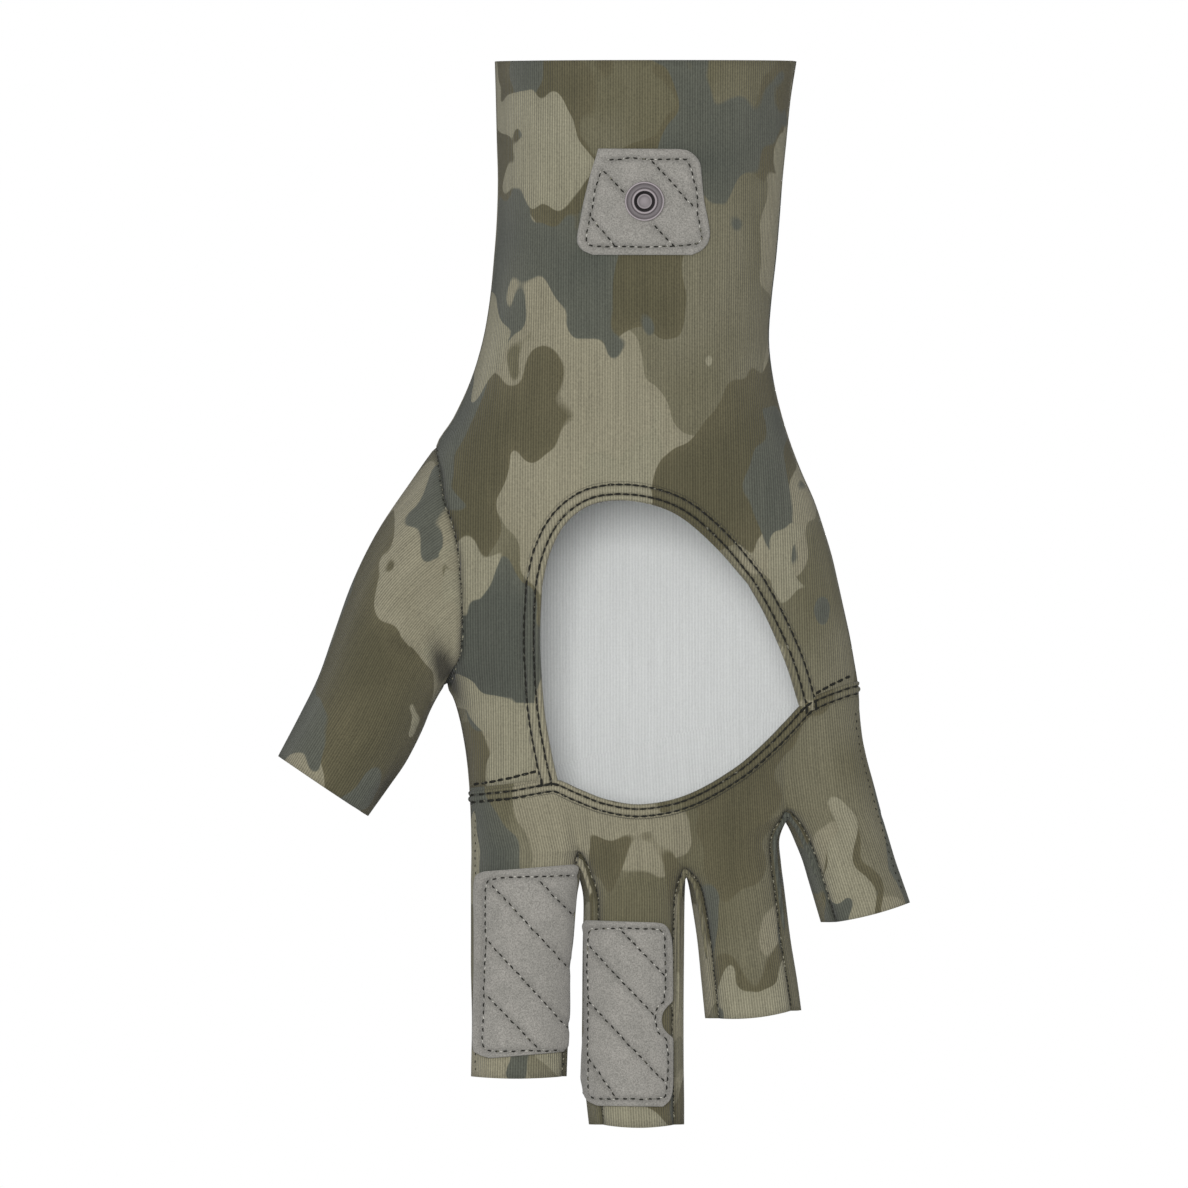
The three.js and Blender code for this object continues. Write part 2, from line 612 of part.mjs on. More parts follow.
const MIDDLE_ROWS = [
  [0.8057, -0.1480, 0.8076, 0.0294],
  [0.8120, -0.1560, 0.8120, 0.0560],
  [0.8226, -0.1570, 0.8226, 0.0703],
  [0.8500, -0.1570, 0.8500, 0.0729],
  [0.8800, -0.1570, 0.8800, 0.0729],
  [0.8870, -0.1570, 0.8870, 0.0560],
  [0.8986, -0.1570, 0.8986, 0.0470],
  [0.9102, -0.1570, 0.9102, 0.0560],
  [0.9172, -0.1570, 0.9172, 0.0745],
  [0.9440, -0.1550, 0.9440, 0.0754],
  [0.9640, -0.1500, 0.9640, 0.0750],
  [0.9740, -0.1350, 0.9740, 0.0680],
  [0.9794, -0.1087, 0.9803, 0.0473],
];

function patchSheet() {
  const point = (s, j) => {
    const [leftDown, left, rightDown, right] = PATCH_ROWS[j];
    return handPoint('front', lerp(left, right, s), lerp(leftDown, rightDown, s));
  };
  return new Sheet().grid(point, steps(8), PATCH_ROWS.map((_, j) => j), true);
}

function padSheet(k, rows) {
  const { edges, hem } = fingers[k];
  const [first, final] = seamAngles(k);
  const spot = (across, down) => {
    const [left, right] = [edges('left', down), edges('right', down)];
    const turn = Math.acos(Math.min(Math.max((2 * across - left - right) / (right - left), -0.985), 0.985));
    const share = (Math.cos(turn) - Math.cos(first)) / (Math.cos(final) - Math.cos(first));
    const start = lerp(crotches[k].front[0], crotches[k + 1].front[0], share);
    const end = lerp(hem[0], hem[1], share) + hem[2] * 4 * share * (1 - share);
    return { v: (down - start) / (end - start), s: (turn - first) / (final - first) };
  };
  const point = (t, j) => {
    const [leftDown, left, rightDown, right] = rows[j];
    const [from, to] = [spot(left, leftDown), spot(right, rightDown)];
    return fingerPoint('front', k, lerp(from.v, to.v, t), lerp(from.s, to.s, t));
  };
  return new Sheet().grid(point, steps(8), rows.map((_, j) => j), true);
}

const SNAP_AT = [-0.0038, 0.1315];

// Where the snap sits, and the three directions it is built along: its axis is the last.
function snapSeat() {
  const [across, down] = SNAP_AT;
  const reach = 0.02;
  const at = (a, d) => new THREE.Vector3(...handPoint('front', across + a, down + d));
  const side = at(reach, 0).sub(at(-reach, 0)).normalize();
  const axis = side.clone().cross(at(0, -reach).sub(at(0, reach))).normalize();
  const up = axis.clone().cross(side);
  const centre = at(0, 0).addScaledVector(axis, PAD_GAP + SUEDE + SNAP_GAP);
  return { centre, side, up, axis };
}

// A solid of revolution about the snap's axis. The profile is radius and height, and it closes on itself.
function turned(profile) {
  const { centre, side, up, axis } = snapSeat();
  const sheet = new Sheet();
  const count = 40;
  const point = (i, j) => {
    const angle = (2 * Math.PI * (i % count)) / count;
    const [radius, height] = profile[j % profile.length];
    const point = centre.clone().addScaledVector(side, radius * Math.cos(angle));
    return point.addScaledVector(up, radius * Math.sin(angle)).addScaledVector(axis, height).toArray();
  };
  const around = Array.from({ length: count + 1 }, (_, i) => i);
  sheet.grid(point, around, profile.map((_, j) => j).concat(0), false);
  const geometry = new THREE.BufferGeometry();
  geometry.setAttribute('position', new THREE.Float32BufferAttribute(sheet.points.flat(), 3));
  geometry.setIndex(sheet.faces.flat());
  return geometry;
}

const RING = [
  [0.46, 0.00],
  [0.94, 0.00],
  [1.00, 0.20],
  [1.00, 0.55],
  [0.95, 0.66],
  [0.90, 0.55],
  [0.80, 0.47],
  [0.71, 0.55],
  [0.67, 0.92],
  [0.62, 1.00],
  [0.56, 0.90],
  [0.52, 0.45],
  [0.46, 0.40],
];
const POST = [
  [0.00, 0.00],
  [0.385, 0.00],
  [0.385, 0.62],
  [0.34, 0.76],
  [0.00, 0.80],
];

const cloth = new THREE.MeshStandardMaterial({ color: 0x6f6b54, roughness: 0.9, metalness: 0 });
const suede = new THREE.MeshStandardMaterial({ color: 0x918e88, roughness: 0.95, metalness: 0 });
const metal = new THREE.MeshStandardMaterial({ color: 0x7d757a, roughness: 0.4, metalness: 0.6 });

const panels = {
  palm_panel: palmSheet(),
  back_panel: backSheet(),
  finger_front_panel: fingerCells(new Sheet(), 'front'),
  fourchette_index_middle: stripSheet(1),
  fourchette_middle_ring: stripSheet(2),
  fourchette_ring_pinky: stripSheet(3),
  thumb_sleeve: thumbSheet(),
};
const pads = {
  wrist_patch: patchSheet(),
  index_pad: padSheet(0, INDEX_ROWS),
  middle_pad: padSheet(1, MIDDLE_ROWS),
};

const glove = new THREE.Group();
glove.name = 'fishing_glove';
function add(name, geometry, material) {
  const mesh = new THREE.Mesh(geometry, material);
  mesh.name = name;
  glove.add(mesh);
}

const panelNormals = sharedNormals(Object.values(panels));
for (const [name, sheet] of Object.entries(panels)) {
  add(name, thicken(sheet, panelNormals, CLOTH, 0, SEAM_GAP / 2), cloth);
}
for (const [name, sheet] of Object.entries(pads)) {
  add(name, thicken(sheet, sharedNormals([sheet]), SUEDE, PAD_GAP + SUEDE, 0), suede);
}

const sized = (profile) => profile.map(([radius, height]) => [radius * SNAP_RADIUS, height * SNAP_HEIGHT]);
add('snap_ring', turned(sized(RING)), metal);
add('snap_post', turned(sized(POST)), metal);

export default glove;
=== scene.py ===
# %% [markdown]
# # A fingerless fishing glove
# The glove is thin stretch knit, sewn from seven cloth panels, with three suede pieces and a press stud. The
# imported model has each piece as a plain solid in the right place. Here every piece is made again with its
# hems, stitches, nap and print, in the same metres and the same frame.

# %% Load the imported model
import math

import bpy
import numpy as np
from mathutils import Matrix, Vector
from mathutils.bvhtree import BVHTree


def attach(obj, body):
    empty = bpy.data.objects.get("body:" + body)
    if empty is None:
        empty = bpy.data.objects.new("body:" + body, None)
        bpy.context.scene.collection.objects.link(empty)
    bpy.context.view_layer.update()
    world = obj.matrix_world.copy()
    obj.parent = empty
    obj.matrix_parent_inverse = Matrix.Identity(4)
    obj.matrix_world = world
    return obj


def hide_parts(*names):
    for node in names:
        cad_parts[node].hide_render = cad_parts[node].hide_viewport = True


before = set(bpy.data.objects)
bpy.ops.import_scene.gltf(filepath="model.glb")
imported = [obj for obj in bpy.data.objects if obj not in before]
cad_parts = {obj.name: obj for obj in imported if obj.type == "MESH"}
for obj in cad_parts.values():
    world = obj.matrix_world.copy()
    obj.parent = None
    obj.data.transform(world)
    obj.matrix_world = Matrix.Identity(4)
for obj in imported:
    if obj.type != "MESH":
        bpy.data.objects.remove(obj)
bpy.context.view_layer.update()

MM = 0.001
print("packed pieces:", sorted(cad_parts))

# %% [markdown]
# ## Camera
# The glove is seen straight on by a very long lens, so the edge of the cuff is a straight line. The lens here is
# ten metres away, and its focal length follows from the width that the view has at the glove.

# %% Camera
VIEW_CENTRE = (-12.4, -127.8)
VIEW_WIDTH = 285.1
CAMERA_AWAY = 10000.0

camera = bpy.data.objects.new("camera", bpy.data.cameras.new("camera"))
bpy.context.scene.collection.objects.link(camera)
bpy.context.scene.camera = camera
camera.location = (VIEW_CENTRE[0] * MM, -CAMERA_AWAY * MM, VIEW_CENTRE[1] * MM)
camera.rotation_euler = (math.pi / 2, 0, 0)
camera.data.lens = camera.data.sensor_width * CAMERA_AWAY / VIEW_WIDTH
print("focal length in mm:", round(camera.data.lens, 1))

# %% [markdown]
# ## Sizes and tables
# A glove's outline is measured, not drawn, so its shape is kept as short tables of shares: how far down the
# glove, how far across it, and how deep. A smooth curve goes through the rows. The same tables give the
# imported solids, so the cloth made here lies in the same place.

# %% Reading a table
LENGTH, PALM_WIDTH, CUFF_DEPTH = 255.7, 93.8, 50.0


def mix(a, b, t):
    return a + (b - a) * t


def ease(t):
    return t * t * (3 - 2 * t)


def size_of(vectors):
    return np.linalg.norm(vectors, axis=-1)


def unit(vectors):
    return vectors / size_of(vectors)[..., None]


class Table:
    """Columns against the first one. Between two rows the value eases from one to the next, and follows the
    slopes at both, which are those of the lines between the rows on either side."""

    def __init__(self, names, rows):
        self.names, self.rows = names.split(), np.array(rows, float)

    def __call__(self, name, value):
        x, y = self.rows[:, 0], self.rows[:, self.names.index(name)]
        count = np.arange(len(x))
        before, after = np.maximum(count - 1, 0), np.minimum(count + 1, len(x) - 1)
        slope = (y[after] - y[before]) / (x[after] - x[before])
        at = np.clip(value, x[0], x[-1])
        i = np.searchsorted(x[1:-1], at)
        step = x[i + 1] - x[i]
        u = (at - x[i]) / step
        drift = slope[i] * (1 - u) - slope[i + 1] * u
        return mix(y[i], y[i + 1], ease(u)) + u * (1 - u) * step * drift


def place(across, down, deep):
    """Shares of the palm's width, the length and the cuff's depth, as a point in millimetres."""
    across, down, deep = np.broadcast_arrays(across, down, deep)
    return np.stack([across * PALM_WIDTH, deep * CUFF_DEPTH, -down * LENGTH], -1)


# %% [markdown]
# ## The hand's tables
# Each row of the hand's table is one height. left and right are the hand's sides, root is the side that the thumb
# hides, front and back are the half depths, bow is how far back the middle lies, and square how blunt the oval
# is. The seam across the palm and the edges of its window are tables too.

# %% The hand's tables
hand = Table("down left root right front back bow square", [
    [0.0000, -0.3875, -0.3875, 0.3875, 0.500, 0.500, 0.0000, 2.00],
    [0.0361, -0.3849, -0.3849, 0.3721, 0.486, 0.486, 0.0000, 2.00],
    [0.0737, -0.3824, -0.3824, 0.3619, 0.472, 0.472, 0.0000, 2.05],
    [0.1112, -0.3798, -0.3798, 0.3517, 0.460, 0.460, 0.0000, 2.05],
    [0.1488, -0.3824, -0.3824, 0.3440, 0.448, 0.448, 0.0000, 2.10],
    [0.1863, -0.3900, -0.3900, 0.3350, 0.438, 0.438, 0.0000, 2.10],
    [0.2238, -0.4003, -0.4003, 0.3235, 0.428, 0.428, 0.0000, 2.10],
    [0.2614, -0.4182, -0.4182, 0.3171, 0.420, 0.420, 0.0000, 2.10],
    [0.2989, -0.4488, -0.4488, 0.3286, 0.416, 0.412, -0.0020, 2.15],
    [0.3346, -0.4936, -0.4936, 0.3517, 0.416, 0.400, -0.0040, 2.20],
    [0.3609, -0.5371, -0.5371, 0.3747, 0.416, 0.390, -0.0080, 2.25],
    [0.3862, -0.5243, -0.5716, 0.4015, 0.416, 0.380, -0.0120, 2.30],
    [0.4115, -0.5141, -0.6049, 0.4322, 0.416, 0.370, -0.0160, 2.30],
    [0.4378, -0.4923, -0.6279, 0.4565, 0.412, 0.360, -0.0200, 2.30],
    [0.4641, -0.4770, -0.6407, 0.4783, 0.406, 0.352, -0.0240, 2.30],
    [0.4904, -0.4719, -0.6432, 0.4949, 0.396, 0.344, -0.0280, 2.30],
    [0.5138, -0.4693, -0.6381, 0.5090, 0.384, 0.338, -0.0320, 2.30],
    [0.5373, -0.4693, -0.6202, 0.5230, 0.370, 0.332, -0.0360, 2.30],
    [0.5608, -0.4770, -0.5818, 0.5345, 0.356, 0.326, -0.0400, 2.30],
    [0.5842, -0.5102, -0.5102, 0.5448, 0.344, 0.320, -0.0440, 2.30],
    [0.5992, -0.4923, -0.4923, 0.5473, 0.336, 0.316, -0.0460, 2.30],
    [0.6180, -0.4770, -0.4770, 0.5499, 0.326, 0.312, -0.0500, 2.35],
    [0.6368, -0.4668, -0.4668, 0.5563, 0.316, 0.306, -0.0540, 2.35],
    [0.6556, -0.4591, -0.4591, 0.5665, 0.308, 0.300, -0.0580, 2.40],
    [0.6818, -0.4527, -0.4527, 0.5870, 0.296, 0.292, -0.0620, 2.40],
    [0.7119, -0.4488, -0.4488, 0.6100, 0.284, 0.282, -0.0680, 2.40],
    [0.7410, -0.4476, -0.4476, 0.6330, 0.272, 0.272, -0.0740, 2.40],
    [0.7870, -0.4488, -0.4488, 0.6765, 0.252, 0.252, -0.0840, 2.40],
    [1.0028, -0.4488, -0.4488, 0.6765, 0.200, 0.200, -0.1400, 2.20],
])
HOLE_TOP, HOLE_END = 0.3609, 0.5842
ARCH_FOOT, WINDOW_END_LEFT, WINDOW_END_RIGHT = 0.4904, 0.6739, 0.6058

seam = Table("across down", [
    [-0.4527, 0.6818], [-0.3593, 0.6781], [-0.2621, 0.6743], [-0.2263, 0.6739], [-0.1701, 0.6828],
    [-0.0985, 0.6926], [-0.0090, 0.6969], [0.1061, 0.6879], [0.2289, 0.6626], [0.3107, 0.6368],
    [0.3951, 0.6058], [0.4335, 0.5988], [0.4872, 0.5936], [0.5448, 0.5889],
])
arch = Table("along down across", [
    [0.000, 0.4904, -0.2647], [0.125, 0.4603, -0.2442], [0.250, 0.4331, -0.2033], [0.375, 0.4162, -0.1394],
    [0.500, 0.4120, -0.0575], [0.625, 0.4172, 0.0320], [0.750, 0.4303, 0.1061], [0.875, 0.4575, 0.1880],
    [1.000, 0.4904, 0.2621],
])
window_left = Table("down across", [
    [0.4904, -0.2647], [0.5260, -0.2698], [0.5626, -0.2691], [0.6105, -0.2596], [0.6518, -0.2404],
    [0.6739, -0.2263],
])
window_right = Table("down across", [
    [0.4904, 0.2621], [0.5223, 0.3107], [0.5653, 0.3629], [0.6058, 0.3951],
])
print("hand rows:", len(hand.rows))

# %% [markdown]
# ## The hand's surface
# Across any height the hand is a rounded oval. Its half depth falls to nothing at both sides as a power of
# the distance from the middle, with an exponent a little over two, so the palm is flatter than an ellipse.


# %% Hand
def hand_depth(side, across, down):
    """The oval's half depth: (1 - u^n)^(1/n) of the middle's, u being the distance from the middle line as a
    share of the half width."""
    in_hole = (down > HOLE_TOP) & (down < HOLE_END)
    left = np.where(in_hole, hand("root", down), hand("left", down))
    right, square = hand("right", down), hand("square", down)
    u = np.minimum(np.abs((2 * across - left - right) / (right - left)), 1)
    return hand(side, down) * (1 - u**square) ** (1 / square)


def raised(side, across, down, deep):
    """The point at a depth in front of the glove's middle sheet, which bows a little, or behind it."""
    return place(across, down, hand("bow", down) + (-deep if side == "front" else deep))


def hand_point(side, across, down):
    return raised(side, across, down, hand_depth(side, across, down))


def girth(side, across, down):
    """Length measured round the oval from the glove's middle line, as the sum of 24 chords."""
    steps = np.linspace(0, 1, 25)
    path = hand_point(side, across[..., None] * steps, down[..., None])
    return np.sign(across) * size_of(np.diff(path, axis=-2)).sum(-1)


print("cuff half girth:", girth("front", np.array([0.3875]), np.array([0.0])).round(1), "mm")

# %% [markdown]
# ## The fingers' surface
# A finger is an oval tube that is open at its end. Its front half belongs to the front panel and its back half
# to the back panel, and a narrow strip joins them on the sides that face another finger. Close to the crotch
# the tube bends to meet its neighbour, by a power of the distance from the crotch.

# %% Finger tables
def finger(edges, tall, hem, inset):
    """A finger's outline, its half depth at both ends, how far down its hem is at the left seam and the right one
    and how much lower between them, and how far in its two seams are."""
    return {"edges": Table("down left right", edges), "tall": tall, "hem": hem, "inset": inset}


fingers = [
    finger([
        [0.7410, -0.4476, -0.1662], [0.7663, -0.4488, -0.1688], [0.7738, -0.4488, -0.1731],
        [0.7870, -0.4488, -0.1777], [0.8245, -0.4488, -0.1854], [0.8527, -0.4488, -0.1944],
        [0.8996, -0.4463, -0.1969], [0.9531, -0.4488, -0.2020],
    ], (0.222, 0.196), (0.9521, 0.9521, 0.0019), (0, 0.0090)),
    finger([
        [0.7410, -0.1726, 0.1036], [0.7663, -0.1688, 0.1000], [0.7738, -0.1624, 0.0997],
        [0.7870, -0.1586, 0.0992], [0.8245, -0.1611, 0.0985], [0.8808, -0.1624, 0.0972],
        [0.9371, -0.1624, 0.0972], [0.9747, -0.1522, 0.0985], [1.0000, -0.1445, 0.0985],
    ], (0.226, 0.200), (0.9972, 0.9972, 0.0028), (0.0360, 0.0256)),
    finger([
        [0.7034, 0.0985, 0.3645], [0.7123, 0.0997, 0.3568], [0.7194, 0.1010, 0.3465],
        [0.7306, 0.1018, 0.3402], [0.7494, 0.1023, 0.3453], [0.7616, 0.1031, 0.3491],
        [0.7682, 0.1087, 0.3517], [0.7870, 0.1164, 0.3581], [0.8245, 0.1317, 0.3708],
        [0.8620, 0.1419, 0.3875], [0.8996, 0.1522, 0.4015],
    ], (0.218, 0.190), (0.8977, 0.8902, 0.0030), (0.0310, 0.0225)),
    finger([
        [0.7034, 0.3478, 0.6036], [0.7123, 0.3568, 0.6113], [0.7194, 0.3670, 0.6164],
        [0.7306, 0.3798, 0.6253], [0.7494, 0.4003, 0.6407], [0.7682, 0.4156, 0.6586],
        [0.7870, 0.4309, 0.6765], [0.8076, 0.4476, 0.6944],
    ], (0.200, 0.172), (0.8076, 0.7888, 0.0019), (0.0360, 0)),
]
LEFT_SIDE = (0.7410, float(hand("left", 0.7410)))
RIGHT_SIDE = (0.7034, float(hand("right", 0.7034)))
crotches = [
    {"front": LEFT_SIDE, "back": LEFT_SIDE, "web": LEFT_SIDE},
    {"front": (0.7410, -0.1726), "back": (0.7340, -0.1726), "web": (0.7663, -0.1688)},
    {"front": (0.7579, 0.1010), "back": (0.7500, 0.1010), "web": (0.7621, 0.1025)},
    {"front": (0.7034, 0.3619), "back": (0.6970, 0.3590), "web": (0.7123, 0.3568)},
    {"front": RIGHT_SIDE, "back": RIGHT_SIDE, "web": RIGHT_SIDE},
]
CROTCH_DEPTH, PINCH, SEAM_ANGLE_AT = 0.72, 16, 0.787
WEB_ANGLE, WEB_FALL, WEB_TURN = 1.48, 6, 12
SEAM_LEFT, SEAM_RIGHT = 0.6818, 0.5889
DIVISIONS = (float(hand("left", SEAM_LEFT)), -0.1803, 0.0959, 0.3517, float(hand("right", SEAM_RIGHT)))
print("fingers:", len(fingers))


# %% [markdown]
# ## Places on a finger
# One share runs down a finger from its crotches to its hem, and another runs round it from seam to seam. Above the
# crotches the finger's front and back go on up to the palm seam, and between two fingers there is a strip.

# %% Finger functions
def seam_angles(k):
    """Where a finger's two seams are on its oval, from their insets."""
    edges, inset = fingers[k]["edges"], fingers[k]["inset"]
    half = (edges("right", SEAM_ANGLE_AT) - edges("left", SEAM_ANGLE_AT)) / 2
    return math.pi - math.acos(1 - inset[0] / half), math.acos(1 - inset[1] / half)


def finger_share(k, angle):
    """How far from seam to seam an angle of a finger's oval is, and how far down the hem is there."""
    first, final = (math.cos(a) for a in seam_angles(k))
    share = (np.cos(angle) - first) / (final - first)
    left, right, bow = fingers[k]["hem"]
    return share, mix(left, right, share) + bow * 4 * share * (1 - share)


def finger_place(side, k, v, s):
    """Across, down and depth of a place on one side of a finger: the oval's cosine and sine at an angle that s
    moves from seam to seam, on an outline read at v of the way from the crotches to the hem."""
    edges = fingers[k]["edges"]
    first, final = seam_angles(k)
    angle = mix(first, final, s)
    share, end = finger_share(k, angle)
    before, after = crotches[k][side], crotches[k + 1][side]
    down = mix(mix(before[0], after[0], share), end, v)
    left, right = edges("left", down), edges("right", down)
    tall = mix(*fingers[k]["tall"], v)
    pinch = (1 - v) ** PINCH
    on_left, on_right = pinch * (1 - share) ** 3, pinch * share**3

    def across_at(turn):
        return (left + right) / 2 + (right - left) / 2 * np.cos(turn)

    def pull(boundary, turn):
        if boundary in (0, 4):
            return 0
        meet = (fingers[boundary - 1]["tall"][0] + fingers[boundary]["tall"][0]) / 2
        return CROTCH_DEPTH * meet - tall * math.sin(turn)

    shift = (before[1] - across_at(first)) * on_left + (after[1] - across_at(final)) * on_right
    deep = tall * np.sin(angle) + pull(k, first) * on_left + pull(k + 1, final) * on_right
    return across_at(angle) + shift, down, deep


def finger_point(side, k, v, s):
    return raised(side, *finger_place(side, k, v, s))


def spread(k, s):
    """Evens out the columns on the two outer fingers, where the hand turns away at its side."""
    if k == 0:
        return 1 - np.cos(s * math.pi / 2)
    return np.sin(s * math.pi / 2) if k == 3 else s


def hand_share(across):
    """How far from the hand's left division to its right one a place is."""
    return (across - DIVISIONS[0]) / (DIVISIONS[4] - DIVISIONS[0])


def root_point(side, k, t, s):
    """A place between the palm seam and the crotches: the seam line at t = 0 and the finger's start at t = 1,
    with the depth easing from the hand's oval to the finger's."""
    top_across = mix(DIVISIONS[k], DIVISIONS[k + 1], spread(k, s))
    top_down = seam("down", top_across) if side == "front" else mix(SEAM_LEFT, SEAM_RIGHT, hand_share(top_across))
    low_across, low_down, low_deep = finger_place(side, k, np.zeros_like(t), s)
    down, across = mix(top_down, low_down, t), mix(top_across, low_across, t)
    left_edge = hand("left", mix(SEAM_LEFT, LEFT_SIDE[0], t))
    right_edge = hand("right", mix(SEAM_RIGHT, RIGHT_SIDE[0], t))
    if k == 0:
        across = across + (left_edge - mix(DIVISIONS[0], LEFT_SIDE[1], t)) * (1 - s) ** 3
    if k == 3:
        across = across + (right_edge - mix(DIVISIONS[4], RIGHT_SIDE[1], t)) * s**3
    edge = ((k == 0) & (s <= 0)) | ((k == 3) & (s >= 1))
    deep = np.where(edge, 0, mix(hand_depth(side, across, down), low_deep, ease(t)))
    return raised(side, across, down, deep)


def strip_point(gap, on_right, v, q):
    """The strip between two fingers: an arc from the front seam at q = 0 to the back seam at q = 1."""
    k, s = (gap, 0.0) if on_right else (gap - 1, 1.0)
    front, back = finger_point("front", k, v, s), finger_point("back", k, v, s)
    web = crotches[gap]["web"]
    meet_down = (crotches[gap]["front"][0] + crotches[gap]["back"][0]) / 2
    down = -(front[..., 2] + back[..., 2]) / 2 / LENGTH + (web[0] - meet_down) * (1 - v) ** WEB_FALL
    edge = fingers[k]["edges"]("left" if on_right else "right", down)
    middle = place(mix(edge, web[1], (1 - v) ** PINCH), down, hand("bow", down))
    angles = seam_angles(k)
    reach = mix(math.pi - angles[0] if on_right else angles[1], WEB_ANGLE, (1 - v) ** WEB_TURN)
    angle = mix(-reach, reach, q)
    along = (np.sin(angle) / np.sin(reach))[..., None]
    out = ((np.cos(angle) - np.cos(reach)) / (1 - np.cos(reach)))[..., None]
    centre = (front + back) / 2
    return centre + (back - front) / 2 * along + (middle - centre) * out


print("index fingertip opening:", finger_point("front", 0, np.array([1.0]), np.array([0.5])).round(1))

# %% [markdown]
# ## Panels as grids
# Each panel is one or more grids of points, and grids that meet share the points on their common line. Every
# point also has a place on the flat cloth: how far round the hand it is and how far down. The knit's ribs
# follow that flat place, so they run down the glove and down each finger as they do in real cloth.


# %% Grid helpers
def refine(values, parts):
    """Adds parts - 1 even steps between neighbouring values."""
    values = np.asarray(values, float)
    at = np.arange((len(values) - 1) * parts + 1) / parts
    return np.interp(at, np.arange(len(values)), values)


def round_from(points, share):
    """Length along each row of a grid, from the column that is a share of the way across it."""
    length = np.concatenate([np.zeros((len(points), 1)), size_of(np.diff(points, axis=1)).cumsum(1)], 1)
    return length - length[:, round((length.shape[1] - 1) * share)][:, None]


def hand_grid(side, across, down):
    """(points, flat places, turned) of a grid on the hand."""
    across, down = np.broadcast_arrays(across, down)
    flat = np.stack([girth(side, across, down), -down * LENGTH], -1)
    return hand_point(side, across, down), flat, side == "front"


def free_grid(points, turned, middle=0.0, down=None, share=0.5):
    """A grid whose flat place is the length along its rows, and its height or the given length down it."""
    down = points[..., 2] if down is None else np.broadcast_to(down, points.shape[:2])
    return points, np.stack([round_from(points, share) + middle, down], -1), turned


FINER = 4
COARSE_LEFT = [
    0.0000, 0.0361, 0.0737, 0.1112, 0.1488, 0.1863, 0.2238, 0.2614, 0.2989, 0.3346, HOLE_TOP, 0.3862, 0.4115,
    0.4378, 0.4641, ARCH_FOOT, 0.5138, 0.5373, 0.5608, 0.5760, HOLE_END, 0.6086, 0.6330, 0.6574, SEAM_LEFT,
]
STRAIGHT = COARSE_LEFT.index(HOLE_TOP) * FINER
FOOT = COARSE_LEFT.index(ARCH_FOOT) * FINER
left_rows = refine(COARSE_LEFT, FINER)
beside = (np.arange(len(left_rows)) - FOOT) / (len(left_rows) - 1 - FOOT)
right_rows = np.where(beside < 0, left_rows, mix(ARCH_FOOT, SEAM_RIGHT, beside))
print("rows down the hand:", len(left_rows))

# %% [markdown]
# ## Palm panel
# The palm panel is the cuff's front and the palm down to the cross seam, with an open window cut out of it. Its
# rows run straight across down to the thumb, bend to the window's arch, and go on as a strip on each side.

# %% Palm grids
ACROSS_STRIP = refine([0, 0.09, 0.28, 0.6, 1], FINER)


def palm_grids():
    left, right = hand("left", ARCH_FOOT), hand("right", ARCH_FOOT)
    along = np.linspace(0, 1, 10 * FINER + 1)
    across_foot = np.concatenate([
        mix(left, window_left("across", ARCH_FOOT), ACROSS_STRIP)[:-1],
        arch("across", along),
        mix(right, window_right("across", ARCH_FOOT), ACROSS_STRIP)[::-1][1:],
    ])
    flat_foot = np.full(len(ACROSS_STRIP) - 1, ARCH_FOOT)
    down_foot = np.concatenate([flat_foot, arch("down", along), flat_foot])
    share = (across_foot - left) / (right - left)
    down = left_rows[: STRAIGHT + 1, None]
    above = hand_grid("front", mix(hand("left", down), hand("right", down), share), down)

    top = left_rows[STRAIGHT]
    g = ((left_rows[STRAIGHT : FOOT + 1] - top) / (left_rows[FOOT] - top))[:, None]
    down = mix(top, down_foot, g)
    start = mix(hand("left", top), hand("right", top), share)
    drift = {s: hand(s, down) - mix(hand(s, top), hand(s, ARCH_FOOT), g) for s in ("left", "right")}
    pull = drift["left"] * (1 - share) ** 4 + drift["right"] * share**4
    around = hand_grid("front", mix(start, across_foot, g) + pull, down)

    down, f = left_rows[FOOT:, None], (left_rows[FOOT:, None] - ARCH_FOOT) / (SEAM_LEFT - ARCH_FOOT)
    inner = mix(ARCH_FOOT, WINDOW_END_LEFT, f)
    across = mix(hand("left", down), window_left("across", inner), ACROSS_STRIP)
    curve = (seam("down", across) - mix(SEAM_LEFT, WINDOW_END_LEFT, ACROSS_STRIP)) * f**3 * (ACROSS_STRIP > 0)
    left_strip = hand_grid("front", across, mix(down, inner, ACROSS_STRIP) + curve)

    down, f, back = right_rows[FOOT:, None], beside[FOOT:, None], 1 - ACROSS_STRIP[::-1]
    inner = mix(ARCH_FOOT, WINDOW_END_RIGHT, f)
    across = mix(window_right("across", inner), hand("right", down), back)
    curve = (seam("down", across) - mix(WINDOW_END_RIGHT, SEAM_RIGHT, back)) * f**3 * (back < 1)
    right_strip = hand_grid("front", across, mix(inner, down, back) + curve)
    return [above, around, left_strip, right_strip]


print("palm grids:", [g[0].shape[:2] for g in palm_grids()])

# %% [markdown]
# ## Finger panels and back panel
# The backs of the hand and of the four fingers are one panel. The fronts of the fingers are another, which
# starts at the cross seam. Both divide into fingers in the same way, so one function makes both.

# %% Finger and back grids
ACROSS_FINGER = np.linspace(0, 1, 6 * FINER + 1)
DOWN_ROOT = np.linspace(0, 1, 5 * FINER + 1)[:, None]
CROWD_AT_CROTCH = 1.7
DOWN_FINGER = (np.linspace(0, 1, 10 * FINER + 1) ** CROWD_AT_CROTCH)[:, None]


def finger_grids(side):
    grids = []
    for k in range(4):
        middle = (DIVISIONS[k] + DIVISIONS[k + 1]) / 2 * PALM_WIDTH
        for point, down in ((root_point, DOWN_ROOT), (finger_point, DOWN_FINGER)):
            points = point(side, k, *np.broadcast_arrays(down, ACROSS_FINGER))
            grids.append(free_grid(points, side == "front", middle))
    return grids


